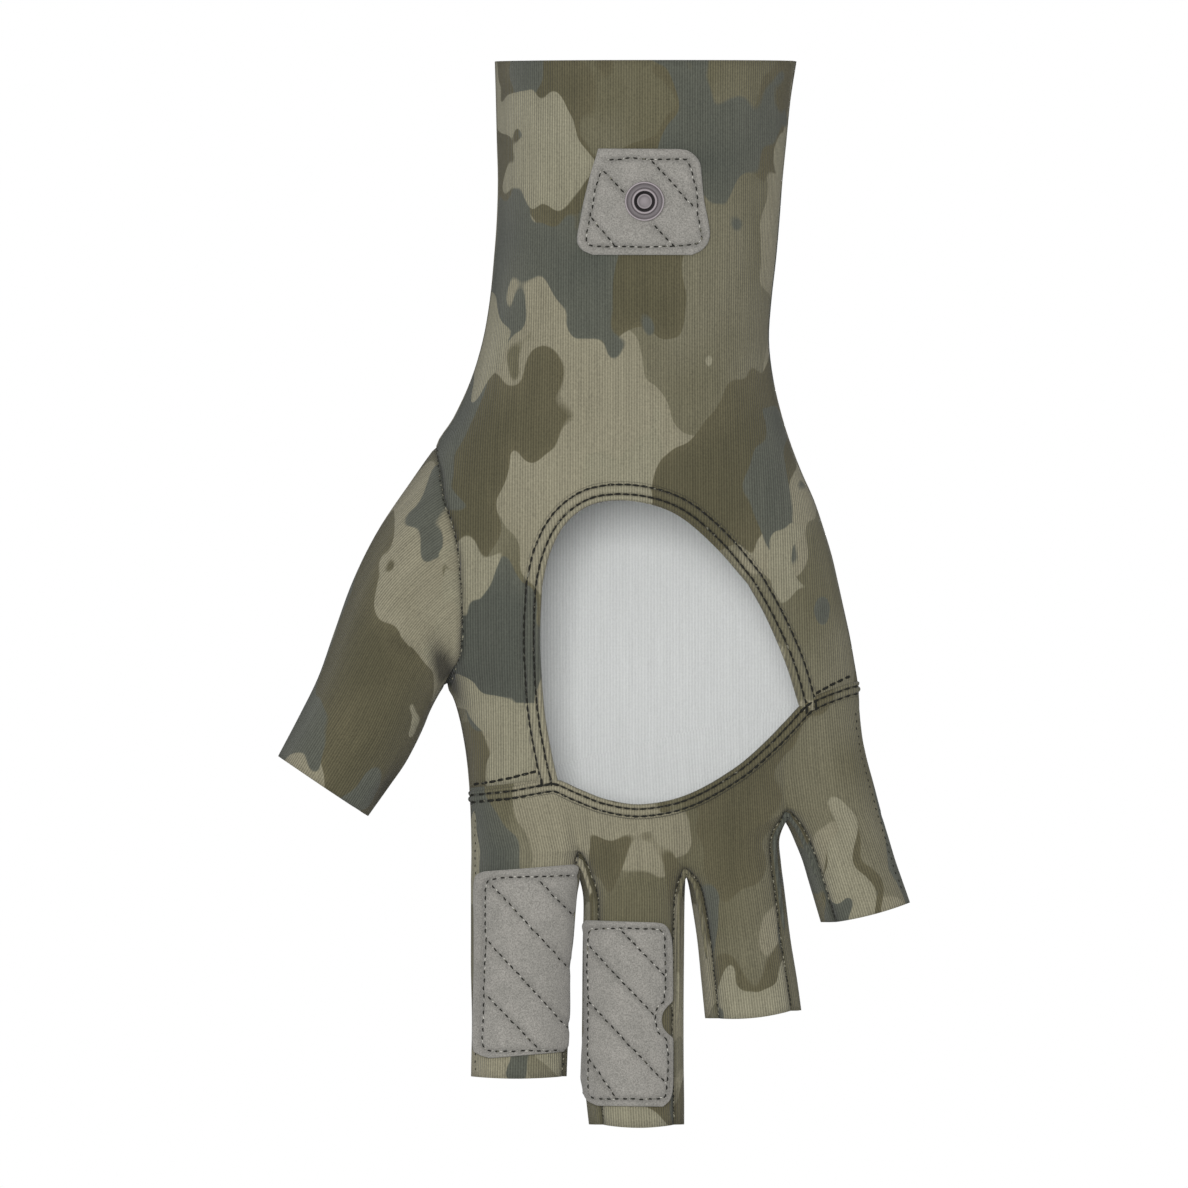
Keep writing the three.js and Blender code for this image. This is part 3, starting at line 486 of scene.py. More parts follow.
def back_grids():
    grids = []
    for k in range(4):
        share = hand_share(mix(DIVISIONS[k], DIVISIONS[k + 1], spread(k, ACROSS_FINGER)))
        left, right = left_rows[:, None], right_rows[:, None]
        across = mix(hand("left", left), hand("right", right), share)
        grids.append(hand_grid("back", across, mix(left, right, share)))
    return grids + finger_grids("back")


def strip_grids(gap):
    q = np.linspace(0, 1, 4 * FINER + 1)
    return [free_grid(np.concatenate([
        strip_point(gap, on_right, *np.broadcast_arrays(v, q))
        for on_right, v in ((False, DOWN_FINGER[::-1]), (True, DOWN_FINGER[1:]))]), False)]


print("back grids:", len(back_grids()))

# %% [markdown]
# ## Thumb
# The thumb is a tube sewn into a hole at the hand's side. Its rings turn from the hole's slanted edge to the
# cut end, and near the hole each ring bends to the hole's own outline.

# %% Thumb grids
thumb = Table("along leftDown left rightDown right deep bow", [
    [0.00, 0.3609, -0.5371, 0.5842, -0.5102, 0.300, -0.026],
    [0.12, 0.3909, -0.5946, 0.5927, -0.5269, 0.296, -0.034],
    [0.28, 0.4397, -0.6841, 0.6096, -0.5512, 0.288, -0.050],
    [0.42, 0.4866, -0.7481, 0.6246, -0.5678, 0.278, -0.066],
    [0.56, 0.5354, -0.7967, 0.6415, -0.5895, 0.266, -0.086],
    [0.70, 0.5767, -0.8363, 0.6603, -0.6176, 0.254, -0.108],
    [0.85, 0.6124, -0.8836, 0.6818, -0.6586, 0.242, -0.132],
    [1.00, 0.6518, -0.9399, 0.7081, -0.7097, 0.230, -0.160],
])
THUMB_LENGTH, THUMB_FADE = 75.0, 2.5


def thumb_ring(turn, along):
    """An oval between the thumb's two outlines, by the cosine and sine of turn."""
    middle = {n: (thumb(a, along) + thumb(b, along)) / 2 for n, a, b in
              (("across", "left", "right"), ("down", "leftDown", "rightDown"))}
    across = mix(middle["across"], thumb("right", along), np.cos(turn))
    down = mix(middle["down"], thumb("rightDown", along), np.cos(turn))
    return place(across, down, thumb("bow", along) - thumb("deep", along) * np.sin(turn))


def thumb_grids():
    rows = left_rows[STRAIGHT : COARSE_LEFT.index(HOLE_END) * FINER + 1]
    half = len(rows) - 1
    down = np.concatenate([rows, rows[-2::-1]])
    turn = math.pi - math.pi * np.arange(2 * half + 1) / half
    edge = hand("left", down)
    front = np.arange(2 * half + 1) <= half
    base = np.where(front[:, None], hand_point("front", edge, down), hand_point("back", edge, down))
    base[-1] = base[0]
    along = np.concatenate([[0, 0.02], np.linspace(0.05, 1, 40)])[:, None]
    fade = (1 - along[..., None]) ** THUMB_FADE
    points = thumb_ring(turn, along) + (base - thumb_ring(turn, np.zeros_like(along))) * fade
    points[:, -1] = points[:, 0]
    return [free_grid(points, True, 0.0, -along * THUMB_LENGTH, 0.25)]


print("thumb grid:", thumb_grids()[0][0].shape[:2])

# %% [markdown]
# ## Welding the panels
# Where two panels are sewn together their surfaces have to meet, so the direction that the cloth faces is
# averaged there over both. The points of all the panels are compared once, rounded to two thousandths of a
# millimetre, and points that agree are one.

# %% Weld
WELD_STEPS_PER_MM = 500
STRIPS = {"index_middle_strip": 1, "middle_ring_strip": 2, "ring_little_strip": 3}
panels = {
    "palm_cloth": palm_grids(),
    "back_cloth": back_grids(),
    "finger_front_cloth": finger_grids("front"),
    **{name: strip_grids(gap) for name, gap in STRIPS.items()},
    "thumb_cloth": thumb_grids(),
}


def triangles_of(grids):
    """All the grids' points, flat places and triangles, each cell cut along its diagonal."""
    points, flats, faces, start = [], [], [], 0
    for grid, flat, turned in grids:
        rows, columns = grid.shape[:2]
        at = start + np.arange(rows * columns).reshape(rows, columns)
        a, b, c, d = at[:-1, :-1], at[:-1, 1:], at[1:, 1:], at[1:, :-1]
        cells = np.stack([a, b, c, a, c, d], -1).reshape(-1, 3)
        faces.append(cells[:, ::-1] if turned else cells)
        points.append(grid.reshape(-1, 3))
        flats.append(flat.reshape(-1, 2))
        start += rows * columns
    return np.concatenate(points), np.concatenate(flats), np.concatenate(faces)


def solid(corners):
    """Which triangles have three different corners."""
    return (corners != np.roll(corners, 1, axis=1)).all(1)


raw = {name: triangles_of(grids) for name, grids in panels.items()}
raw_points = np.concatenate([points for points, _, _ in raw.values()])
keys = np.round(raw_points * WELD_STEPS_PER_MM).astype(np.int64)
_, first_use, shared_id = np.unique(keys, axis=0, return_index=True, return_inverse=True)
shared_id = shared_id.ravel()
all_points = raw_points[first_use]
sheets, start = {}, 0
for name, (points, flat, faces) in raw.items():
    ids = shared_id[start : start + len(points)]
    start += len(points)
    kept = solid(ids[faces])
    sheets[name] = {"corners": ids[faces[kept]], "flat": flat[faces[kept]]}

users = np.zeros(len(all_points), int)
for sheet in sheets.values():
    users[np.unique(sheet["corners"])] += 1


def facing_of(points):
    """The way the cloth faces at each point: the sum over its triangles' cross products."""
    total = np.zeros_like(points)
    for sheet in sheets.values():
        a, b, c = (points[sheet["corners"][:, i]] for i in range(3))
        across = np.cross(b - a, c - a)
        for i in range(3):
            np.add.at(total, sheet["corners"][:, i], across)
    return unit(total)


print("points:", len(all_points), "on seams:", int((users > 1).sum()))

# %% [markdown]
# ## Folds
# Where the thumb leaves the palm the cloth is pulled into a hollow with a soft fold on each side. Each fold is a
# long bell curve, exp(-(across/wide)^2 - (along/long)^2), that moves the front of the glove in or out. Where it
# moves the cloth in, the hollow is also painted darker, as painted shade.

# %% Folds
FOLDS = (
    # x, z, wide, long, degrees from upright, out
    (-47.8, -147.2, 2.1, 6.6, 20, -3.5),
    (-51.6, -143.0, 1.6, 7.0, 30, 0.9),
    (-45.2, -137.0, 1.5, 8.0, -8, 1.0),
    (-48.0, -121.5, 1.1, 8.0, 20, 0.7),
    (-57.5, -140.5, 1.2, 4.5, 62, -0.7),
    (-62.4, -175.0, 1.3, 6.0, -32, -2.4),
    (-65.0, -173.8, 1.2, 6.0, -32, 0.8),
)
DARK_AT, DARKEST, NEAR_WEB = 1.4, 1.42, 2.6
normals = facing_of(all_points)
to_front = np.clip(-normals[:, 1] * 2, 0, 1)
painted_fold_shade = np.zeros(len(all_points))
for x, z, wide, long, turn, out in FOLDS:
    c, s = math.cos(math.radians(turn)), math.sin(math.radians(turn))
    dx, dz = all_points[:, 0] - x, all_points[:, 2] - z
    bell = np.exp(-(((c * dx + s * dz) / wide) ** 2) - ((c * dz - s * dx) / long) ** 2)
    all_points[:, 1] -= out * bell * to_front
    # painted shade: the hollow that a fold pulls in is painted darker, up to DARKEST
    painted_fold_shade = np.maximum(painted_fold_shade, np.minimum(-out / DARK_AT * bell * to_front, DARKEST))
normals = facing_of(all_points)
print("folds:", len(FOLDS))

# %% [markdown]
# ## Node helpers
# Each finish is a small network of shader nodes. These helpers make a node, join two nodes and start a group,
# so that a finish reads as what it does and not as wiring.


# %% Node helpers
def srgb(*values):
    """Colour values from 0 to 255 as the linear colour that Blender uses."""
    v = np.array(values) / 255
    return tuple(np.where(v <= 0.04045, v / 12.92, ((v + 0.055) / 1.055) ** 2.4)) + (1.0,)


class Net:
    """Short ways to add nodes to one node tree."""

    def __init__(self, tree):
        self.tree = tree

    def add(self, kind, sockets=None, **settings):
        made = self.tree.nodes.new("ShaderNode" + kind)
        for key, value in settings.items():
            setattr(made, key, value)
        for key, value in (sockets or {}).items():
            self.put(made.inputs[key], value)
        return made

    def put(self, socket, value):
        if isinstance(value, bpy.types.NodeSocket):
            self.tree.links.new(value, socket)
        else:
            socket.default_value = value

    def math(self, operation, *values):
        return self.add("Math", dict(enumerate(values)), operation=operation).outputs[0]

    def vector(self, operation, a, b):
        return self.add("VectorMath", {0: a, 1: b}, operation=operation).outputs[0]

    def spot(self):
        return self.add("TexCoord").outputs["Object"]

    # painted shade: how much each point is darkened in its creases, grooves, hollows and recesses
    def crease_and_painted_shade(self):
        return self.add("Attribute", attribute_name="crease_and_painted_shade").outputs["Fac"]

    def mix(self, share, a, b, blend="MIX"):
        made = self.add("Mix", {0: share, 6: a, 7: b}, data_type="RGBA", blend_type=blend)
        return made.outputs[2]

    def noise(self, vector, scale, detail=2.0, rough=0.5):
        sockets = {"Vector": vector, "Scale": scale, "Detail": detail, "Roughness": rough}
        return self.add("TexNoise", sockets).outputs[0]

    def steps(self, value, low, high, to_low=0.0, to_high=1.0):
        made = self.add("MapRange", {0: value, 1: low, 2: high, 3: to_low, 4: to_high}, clamp=True)
        return made.outputs[0]


def group(name, inputs, outputs):
    """A node group with named sockets, and its net, its inputs and its output node."""
    tree = bpy.data.node_groups.new(name, "ShaderNodeTree")
    for label, kind, value in inputs:
        socket = tree.interface.new_socket(name=label, in_out="INPUT", socket_type="NodeSocket" + kind)
        socket.default_value = value
    for label, kind in outputs:
        tree.interface.new_socket(name=label, in_out="OUTPUT", socket_type="NodeSocket" + kind)
    ins, outs = tree.nodes.new("NodeGroupInput"), tree.nodes.new("NodeGroupOutput")
    return tree, Net(tree), ins.outputs, outs.inputs


def material(name, roughness, **constants):
    """A material with one Principled shader, whose even values are set on its own sockets."""
    made = bpy.data.materials.new(name)
    made.use_nodes = True
    shader = made.node_tree.nodes["Principled BSDF"]
    shader.inputs["Roughness"].default_value = roughness
    for key, value in constants.items():
        shader.inputs[key.replace("_", " ")].default_value = value
    return made, Net(made.node_tree), shader


def use(net, tree, **sockets):
    made = net.add("Group", node_tree=tree)
    for key, value in sockets.items():
        net.put(made.inputs[key], value)
    return made.outputs


print("helpers ready")

# %% [markdown]
# ## Camouflage print and knit
# The print is a plain camouflage: large patches of tan, olive brown and grey green over khaki. Each layer is
# noise cut off at a level, so its patches have crisp edges, and a second noise bends the first so they aren't
# round. The knit is fine ribs that run down the cloth, made from sines of the flat place, with streaks along them
# because no two ribs are equally tight. Shade is painted into the cloth's colour: it is darker in the crease
# beside a row of stitches, in the fold hollows and at the crotches' webs.

# %% Camouflage and knit groups
camouflage, net, ins, outs = group(
    "camouflage", [("Shift", "Vector", (0, 0, 0))], [("Color", "Color")])
TONE_SOFTNESS, PATCH_EDGE, BEND = 0.12, 0.006, 0.022
where = net.vector("ADD", net.spot(), ins["Shift"])
stretch = net.add("Mapping", {"Vector": where, "Rotation": (0, 0.5, 0), "Scale": (1.0, 1.0, 0.72)}).outputs[0]
bend = net.add("TexNoise", {"Vector": stretch, "Scale": 70.0, "Detail": 1.0}).outputs["Color"]
bend = net.vector("MULTIPLY", net.vector("SUBTRACT", bend, (0.5, 0.5, 0.5)), (BEND, BEND, BEND))
bent = net.vector("ADD", stretch, bend)
colour = net.mix(net.steps(net.noise(where, 22.0), 0.42, 0.58), srgb(118, 114, 94), srgb(102, 98, 76))
for offset, scale, level, tone, edge_tone in (
    ((0.31, 0.12, 0.05), 26.0, 0.530, srgb(143, 138, 117), srgb(137, 132, 111)),
    ((0.72, 0.41, 0.33), 30.0, 0.535, srgb(86, 82, 61), srgb(96, 91, 69)),
    ((0.15, 0.83, 0.61), 30.0, 0.555, srgb(80, 83, 75), srgb(90, 92, 82)),
    ((0.55, 0.27, 0.94), 46.0, 0.610, srgb(144, 140, 119), srgb(140, 136, 115)),
):
    here = net.noise(net.vector("ADD", bent, offset), scale, 1.2, 0.35)
    tone = net.mix(net.steps(here, level, level + TONE_SOFTNESS), edge_tone, tone)
    colour = net.mix(net.steps(here, level, level + PATCH_EDGE), colour, tone)
net.put(outs["Color"], colour)

LOOPS_PER_RIB, RIB_HEIGHT, LOOP_HEIGHT, CLOTH_DARKENS_TO = 0.7, 0.46, 0.03, 0.22
knit, net, ins, outs = group(
    "knit ribs", [("Flat", "Vector", (0, 0, 0)), ("Pitch", "Float", 0.6), ("Depth", "Float", 1.0)],
    [("Height", "Float"), ("Shade", "Float")])
parts = net.add("SeparateXYZ", {0: ins["Flat"]}).outputs
per_rib = net.math("DIVIDE", 2 * math.pi * 1000, ins["Pitch"])
rib = net.math("SINE", net.math("MULTIPLY", parts[0], per_rib))
loop = net.math("SINE", net.math("MULTIPLY", parts[1], net.math("MULTIPLY", per_rib, LOOPS_PER_RIB)))
height = net.math("ADD", net.math("MULTIPLY", rib, RIB_HEIGHT), net.math("MULTIPLY", loop, LOOP_HEIGHT))
height = net.math("ADD", height, 0.5)
fleck = net.noise(net.spot(), 2200.0, 1.0)
streak = net.noise(net.vector("MULTIPLY", ins["Flat"], (900.0, 45.0, 1.0)), 1.0, 2.0, 0.6)
shade = net.steps(height, 0.0, 1.0, -0.26, 0.16)
shade = net.math("ADD", shade, net.steps(streak, 0.3, 0.7, -0.08, 0.08))
shade = net.math("ADD", shade, net.steps(fleck, 0.25, 0.75, -0.16, 0.14))
shade = net.math("MULTIPLY_ADD", shade, ins["Depth"], 1.0)
# painted shade: the knit's shade falls to CLOTH_DARKENS_TO where the point's painted crease shade is full
shade = net.math("MULTIPLY", shade, net.steps(net.crease_and_painted_shade(), 0.0, DARKEST, 1.0, CLOTH_DARKENS_TO))
net.put(outs["Height"], height)
net.put(outs["Shade"], shade)
print("groups:", [g.name for g in bpy.data.node_groups])


# %% [markdown]
# ## Cloth materials
# The outer face has the print and fine ribs, and the inner face is plain and pale. Each panel moves the print by
# its own amount, because the panels of a real glove are cut from different places of the cloth.

# %% Cloth materials
def shaded(net, colour, shade):
    """A colour made lighter or darker by a shade near one."""
    grey = net.add("CombineXYZ", {0: shade, 1: shade, 2: shade}).outputs[0]
    return net.mix(1.0, colour, grey, "MULTIPLY")


def painted_shade_in_creases(net, colour, darkest):
    """A colour with painted shade: it falls to a share of itself where the painted crease shade is full."""
    return shaded(net, colour, net.steps(net.crease_and_painted_shade(), 0.0, 1.0, 1.0, darkest))


def bump(net, shader, height, distance):
    net.put(shader.inputs["Normal"], net.add("Bump", {"Height": height, "Distance": distance}).outputs[0])


def printed_cloth(name, shift):
    made, net, shader = material(name, 0.82, Sheen_Weight=0.12, Sheen_Roughness=0.5, Specular_IOR_Level=0.25)
    ribs = use(net, knit, Flat=net.add("UVMap", uv_map="flat").outputs[0], Pitch=0.64)
    print_colour = use(net, camouflage, Shift=shift)["Color"]
    net.put(shader.inputs["Base Color"], shaded(net, print_colour, ribs["Shade"]))
    bump(net, shader, ribs["Height"], 0.00018)
    return made


def lining_side():
    """The cloth's unprinted inner face: pale grey, with the same ribs."""
    made, net, shader = material("cloth_inner_face", 0.9, Sheen_Weight=0.1, Specular_IOR_Level=0.2)
    ribs = use(net, knit, Flat=net.add("UVMap", uv_map="flat").outputs[0], Pitch=0.76, Depth=0.3)
    net.put(shader.inputs["Base Color"], shaded(net, srgb(208, 210, 209), ribs["Shade"]))
    bump(net, shader, ribs["Height"], 0.00008)
    return made


inner_face = lining_side()
cloth = {name: printed_cloth("print_" + name, shift) for name, shift in (
    ("palm_cloth", (0.00, 0.0, 0.00)),
    ("back_cloth", (0.37, 0.2, 0.11)),
    ("finger_front_cloth", (0.83, 0.1, 0.29)),
    ("index_middle_strip", (0.21, 0.6, 0.47)),
    ("middle_ring_strip", (0.65, 0.7, 0.13)),
    ("ring_little_strip", (0.49, 0.9, 0.71)),
    ("thumb_cloth", (0.47, 0.15, 0.63)),
)}
print("cloth materials:", len(cloth))

# %% [markdown]
# ## Cloth pieces
# A panel becomes cloth by giving it a thin wall. The wall's outer face is the printed one and its inner face
# is pale. Along a seam the outer face dips a little, as cloth does where stitches pull it in, and shade is painted
# into it there. A Solidify modifier could make the wall, but it can't agree with the neighbouring panels about the
# direction.

# %% Making cloth
CLOTH_THICK, SEAM_DIP, SEAM_REACH, SEAM_DARK = 0.8, 0.38, 1.0, 0.8
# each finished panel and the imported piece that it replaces
STANDS_FOR = {
    "palm_cloth": "palm_panel",
    "back_cloth": "back_panel",
    "finger_front_cloth": "finger_front_panel",
    "index_middle_strip": "fourchette_index_middle",
    "middle_ring_strip": "fourchette_middle_ring",
    "ring_little_strip": "fourchette_ring_pinky",
    "thumb_cloth": "thumb_sleeve",
}


def mesh_object(name, points, faces, materials, node=None, which=None, flat=None, sharp=None, crease_and_painted_shade=None):
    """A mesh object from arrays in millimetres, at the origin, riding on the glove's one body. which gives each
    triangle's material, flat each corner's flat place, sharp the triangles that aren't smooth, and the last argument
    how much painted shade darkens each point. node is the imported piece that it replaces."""
    mesh = bpy.data.meshes.new(name)
    mesh.from_pydata((points * MM).tolist(), [], faces.tolist())
    for made in materials:
        mesh.materials.append(made)
    if which is not None:
        mesh.polygons.foreach_set("material_index", which)
    smooth = np.ones(len(faces), bool) if sharp is None else ~sharp
    mesh.polygons.foreach_set("use_smooth", smooth)
    if flat is not None:
        mesh.uv_layers.new(name="flat").data.foreach_set("uv", (flat.reshape(-1) * MM).astype(np.float32))
    if crease_and_painted_shade is not None:
        mesh.attributes.new("crease_and_painted_shade", "FLOAT", "POINT").data.foreach_set("value", crease_and_painted_shade.astype(np.float32))
    mesh.update()
    piece = bpy.data.objects.new(name, mesh)
    bpy.context.scene.collection.objects.link(piece)
    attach(piece, "root")
    if node:
        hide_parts(node)
    return piece


def nearest(points, others):
    """Each point's distance to the nearest of the others, for 2,000 points at a time to save memory."""
    parts = np.split(points, range(2000, len(points), 2000))
    return np.concatenate([np.sqrt(((part[:, None] - others) ** 2).sum(-1).min(1)) for part in parts])


def open_edges(faces, count):
    """The directed edges that only one triangle uses."""
    pairs = np.concatenate([faces[:, [0, 1]], faces[:, [1, 2]], faces[:, [2, 0]]])
    code, twin = pairs[:, 0] * count + pairs[:, 1], pairs[:, 1] * count + pairs[:, 0]
    return pairs[~np.isin(code, twin)]


def wall(faces, count):
    """A wall's triangles and which of them are its rim: the faces, the same ones turned over count points
    further on, and two triangles at each open edge."""
    a, b = open_edges(faces, count).T
    rim = np.concatenate([np.stack([b, a, a + count], 1), np.stack([b, a + count, b + count], 1)])
    corners = np.concatenate([faces, faces[:, ::-1] + count, rim])
    return corners, np.arange(len(corners)) >= 2 * len(faces)


def cloth_wall(name):
    """Outer face at the sheet less the seam's dip, inner face a thickness further in, and a rim between."""
    used, local = np.unique(sheets[name]["corners"], return_inverse=True)
    faces = local.reshape(-1, 3)
    points, facing = all_points[used], normals[used]
    on_seam = points[users[used] > 1]
    crease_and_painted_shade = np.exp(-((nearest(points, on_seam) / SEAM_REACH) ** 2))
    outer = points - facing * SEAM_DIP * crease_and_painted_shade[:, None]
    # painted shade: the cloth is painted darker near its seams and in the fold hollows
    crease_and_painted_shade = np.maximum(crease_and_painted_shade * SEAM_DARK, painted_fold_shade[used])
    # painted shade: each strip is painted darkest round its crotch's web, which lies in shade
    if name in STRIPS:
        web = strip_point(STRIPS[name], False, np.zeros(1), np.array([0.5]))
        crease_and_painted_shade = np.maximum(crease_and_painted_shade, DARKEST * np.exp(-((nearest(points, web) / NEAR_WEB) ** 2)))
    inner = points - facing * CLOTH_THICK
    flat = sheets[name]["flat"]
    flat_of = np.zeros((len(points), 2))
    flat_of[faces.reshape(-1)] = flat.reshape(-1, 2)
    corners, is_rim = wall(faces, len(points))
    is_inner = (np.arange(len(corners)) // len(faces) == 1).astype(int)
    piece = mesh_object(
        name, np.concatenate([outer, inner]), corners, [cloth[name], inner_face], STANDS_FOR[name],
        is_inner, np.concatenate([flat, flat[:, ::-1], flat_of[corners[is_rim] % len(points)]]), is_rim,
        np.concatenate([crease_and_painted_shade, 0 * crease_and_painted_shade]))
    return piece, outer, faces


walls = {name: cloth_wall(name) for name in STANDS_FOR}
print("cloth pieces:", len(walls))

# %% [markdown]
# ## Hems
# The window's edge is turned under and sewn twice, so it is thicker than the cloth beside it and puffs up
# between its two rows of stitches. The lower edge of the window is the top of the finger panel, turned under
# in the same way across the whole hand. Each hem is one profile carried along its edge.

# %% Hem shape
HEM_PROFILE = np.array([
    # inward, out, painted shade in the grooves
    (4.70, -0.30, 1.0), (4.50, 0.10, 0.5), (4.25, 0.30, 0.1), (3.95, 0.28, 0.3), (3.75, -0.05, 1.0),
    (3.55, 0.30, 0.4), (3.15, 0.66, 0.0), (2.60, 0.80, 0.0), (2.05, 0.66, 0.0), (1.65, 0.28, 0.4),
    (1.45, -0.05, 1.0), (1.25, 0.30, 0.4), (0.95, 0.62, 0.0), (0.50, 0.66, 0.0), (0.15, 0.36, 0.0),
    (0.00, -0.08, 0.2), (-0.05, -0.50, 0.4), (0.10, -0.85, 0.4), (0.50, -1.05, 0.4), (2.00, -1.10, 0.4),
    (4.70, -1.05, 0.4),
])
HEM_ROWS = np.array([1.45, 3.75])
HEM_LIFT_AT, HEM_LIFT = (-32.0, -24.0, 34.0, 48.0), (-0.7, 0.0, 0.0, 1.9)
LOWER_WIDTH, LOWER_HEIGHT = 0.76, 0.9
LOWER_PROFILE = HEM_PROFILE * (LOWER_WIDTH, LOWER_HEIGHT, 1.0)
SIDE_KEEP, NEAR_ACROSS, NEAR_DOWN = 0.004, 0.002, 0.001


def even_path(points, gap):
    """The same line through the points, at even steps of about the given length."""
    length = np.concatenate([[0], size_of(np.diff(points, axis=0)).cumsum()])
    curve = Table("at x z", np.column_stack([length, points]))
    at = np.linspace(0, length[-1], max(2, round(length[-1] / gap) + 1))
    return np.stack([curve("x", at), curve("z", at)], 1)


def palm_surface(spots):
    """Points and outward directions of the hand's front at places given in millimetres across and up. A place
    past the hand's side is brought back to just inside it."""
    down = -spots[..., 1] / LENGTH
    left, right = hand("left", down), hand("right", down)
    across = np.clip(spots[..., 0] / PALM_WIDTH, left + SIDE_KEEP, right - SIDE_KEEP)

    def at(da, dd):
        return hand_point("front", across + da, down + dd)

    out = np.cross(at(NEAR_ACROSS, 0) - at(-NEAR_ACROSS, 0), at(0, -NEAR_DOWN) - at(0, NEAR_DOWN))
    return at(0, 0), unit(out)


def beside_path(path, inward, distance):
    """The path moved sideways on the cloth by each distance."""
    step = np.gradient(path, axis=0)
    side = unit(np.stack([-step[:, 1], step[:, 0]], 1) * inward)
    return path[:, None] + side[:, None] * np.reshape(distance, (1, -1, 1))


def bands(at):
    """The triangles between each closed ring of points and the next, a ring being a row of point numbers."""
    on = np.roll(at, -1, axis=1)
    return np.stack([at[:-1], on[:-1], on[1:], at[:-1], on[1:], at[1:]], -1).reshape(-1, 3)


def fan(tip, ring):
    """The triangles between one point and a closed ring of points."""
    return np.stack([np.full(len(ring), tip), ring, np.roll(ring, -1)], 1)


def hem(name, path, inward, profile, cloth_name):
    """The profile carried along the path: its first number goes inward on the cloth, its second stands out, and
    its third is how much painted shade darkens the place, most in the grooves."""
    points, out = palm_surface(beside_path(path, inward, profile[:, 0]))
    points = points + out * profile[None, :, 1:2]
    count = points[..., 0].size
    at = np.arange(count).reshape(points.shape[:2])
    faces = np.concatenate([bands(at), fan(count, at[0])[:, ::-1], fan(count + 1, at[-1])])
    if inward > 0:
        faces = faces[:, ::-1]
    # painted shade: darker in the hem's grooves along its two stitch rows
    crease_and_painted_shade = np.concatenate([np.tile(profile[:, 2], len(path)), [0, 0]])
    points = np.concatenate([points.reshape(-1, 3), points[[0, -1]].mean(1)])
    piece = mesh_object(
        name, points, faces, [cloth[cloth_name]], flat=points[:, [0, 2]][faces], crease_and_painted_shade=crease_and_painted_shade)
    print(f"{name}: {size_of(np.diff(path, axis=0)).sum():.0f} mm long")
    return piece, points, faces


SHARES_TO_MM = np.array([PALM_WIDTH, -LENGTH])
PAST_LEFT_END, PAST_RIGHT_END, WINDOW_STEP, SEAM_STEP = 0.006, 0.004, 1.6, 1.4
share = np.linspace(0, 1, 41)
left_downs = np.linspace(WINDOW_END_LEFT + PAST_LEFT_END, ARCH_FOOT, 30)[:-1]
right_downs = np.linspace(ARCH_FOOT, WINDOW_END_RIGHT + PAST_RIGHT_END, 24)[1:]
window_edge = even_path(np.concatenate([
    np.stack([window_left("across", left_downs), left_downs], 1),
    np.stack([arch("across", share), arch("down", share)], 1),
    np.stack([window_right("across", right_downs), right_downs], 1),
]) * SHARES_TO_MM, WINDOW_STEP)
seam_across = np.linspace(seam.rows[0, 0], seam.rows[-1, 0], 90)
cross_edge = even_path(np.stack([seam_across, seam("down", seam_across)], 1) * SHARES_TO_MM, SEAM_STEP)
cross_edge[:, 1] += np.interp(cross_edge[:, 0], HEM_LIFT_AT, HEM_LIFT)
hems = {
    "window_hem": hem("window_hem", window_edge, 1, HEM_PROFILE, "palm_cloth"),
    "cross_seam_hem": hem("cross_seam_hem", cross_edge, -1, LOWER_PROFILE, "finger_front_cloth"),
}

# %% [markdown]
# ## Arches between the fingers
# At each crotch the seam that joins the strip to the front panel stands up as a soft ridge. It is a round roll of
# cloth that follows the seam up one finger, over the arch and down the other. It is thickest over the arch and
# thins out at both ends.

# %% Arch ridges
RIDGE_RADIUS, RIDGE_REACH, RIDGE_SEAT, RIDGE_SIDES = 0.62, 0.62, 0.10, 8
RIDGE_MORE, RIDGE_TOP, RIDGE_SINK, RIDGE_CROWD = 0.75, 0.10, 0.45, 1.5


def arch_ridge(name, gap):
    """A tube round the strip's front seam. Its radius is (1 - t^8)^(1/2) of the full one, with a bell curve added
    at the top, t going from -1 at one end to 1 at the other."""
    v = np.linspace(0, 1, 26) ** RIDGE_CROWD * RIDGE_REACH
    seat = np.full(len(v), RIDGE_SEAT)
    line = np.concatenate([strip_point(gap, False, v, seat)[::-1], strip_point(gap, True, v, seat)[1:]])
    line[:, 1] += RIDGE_RADIUS * RIDGE_SINK
    along = unit(np.gradient(line, axis=0))
    side = unit(np.cross(along, (0, 1, 0)))
    up = np.cross(side, along)
    t = np.linspace(-1, 1, len(line))[:, None, None]
    turn = (np.arange(RIDGE_SIDES) * 2 * math.pi / RIDGE_SIDES)[None, :, None]
    thick = RIDGE_RADIUS * (1 - t**8) ** 0.5 * (1 + RIDGE_MORE * np.exp(-((t / RIDGE_TOP) ** 2)))
    rings = line[:, None] + (side[:, None] * np.cos(turn) + up[:, None] * np.sin(turn)) * thick
    points = np.concatenate([line[:1], rings[1:-1].reshape(-1, 3), line[-1:]])
    at = np.arange(1, len(points) - 1).reshape(-1, RIDGE_SIDES)
    faces = np.concatenate([bands(at), fan(0, at[0])[:, [0, 2, 1]], fan(len(points) - 1, at[-1])])
    piece = mesh_object(
        name + "_ridge", points, faces, [cloth["palm_cloth"]], flat=points[:, [0, 2]][faces])
    return piece, points, faces


ridges = {name: arch_ridge(name, gap) for name, gap in STRIPS.items()}
print("ridges:", list(ridges))

# %% [markdown]
# ## Cloth cuts
# Every panel's cut and area are worked out from its flat places and printed.


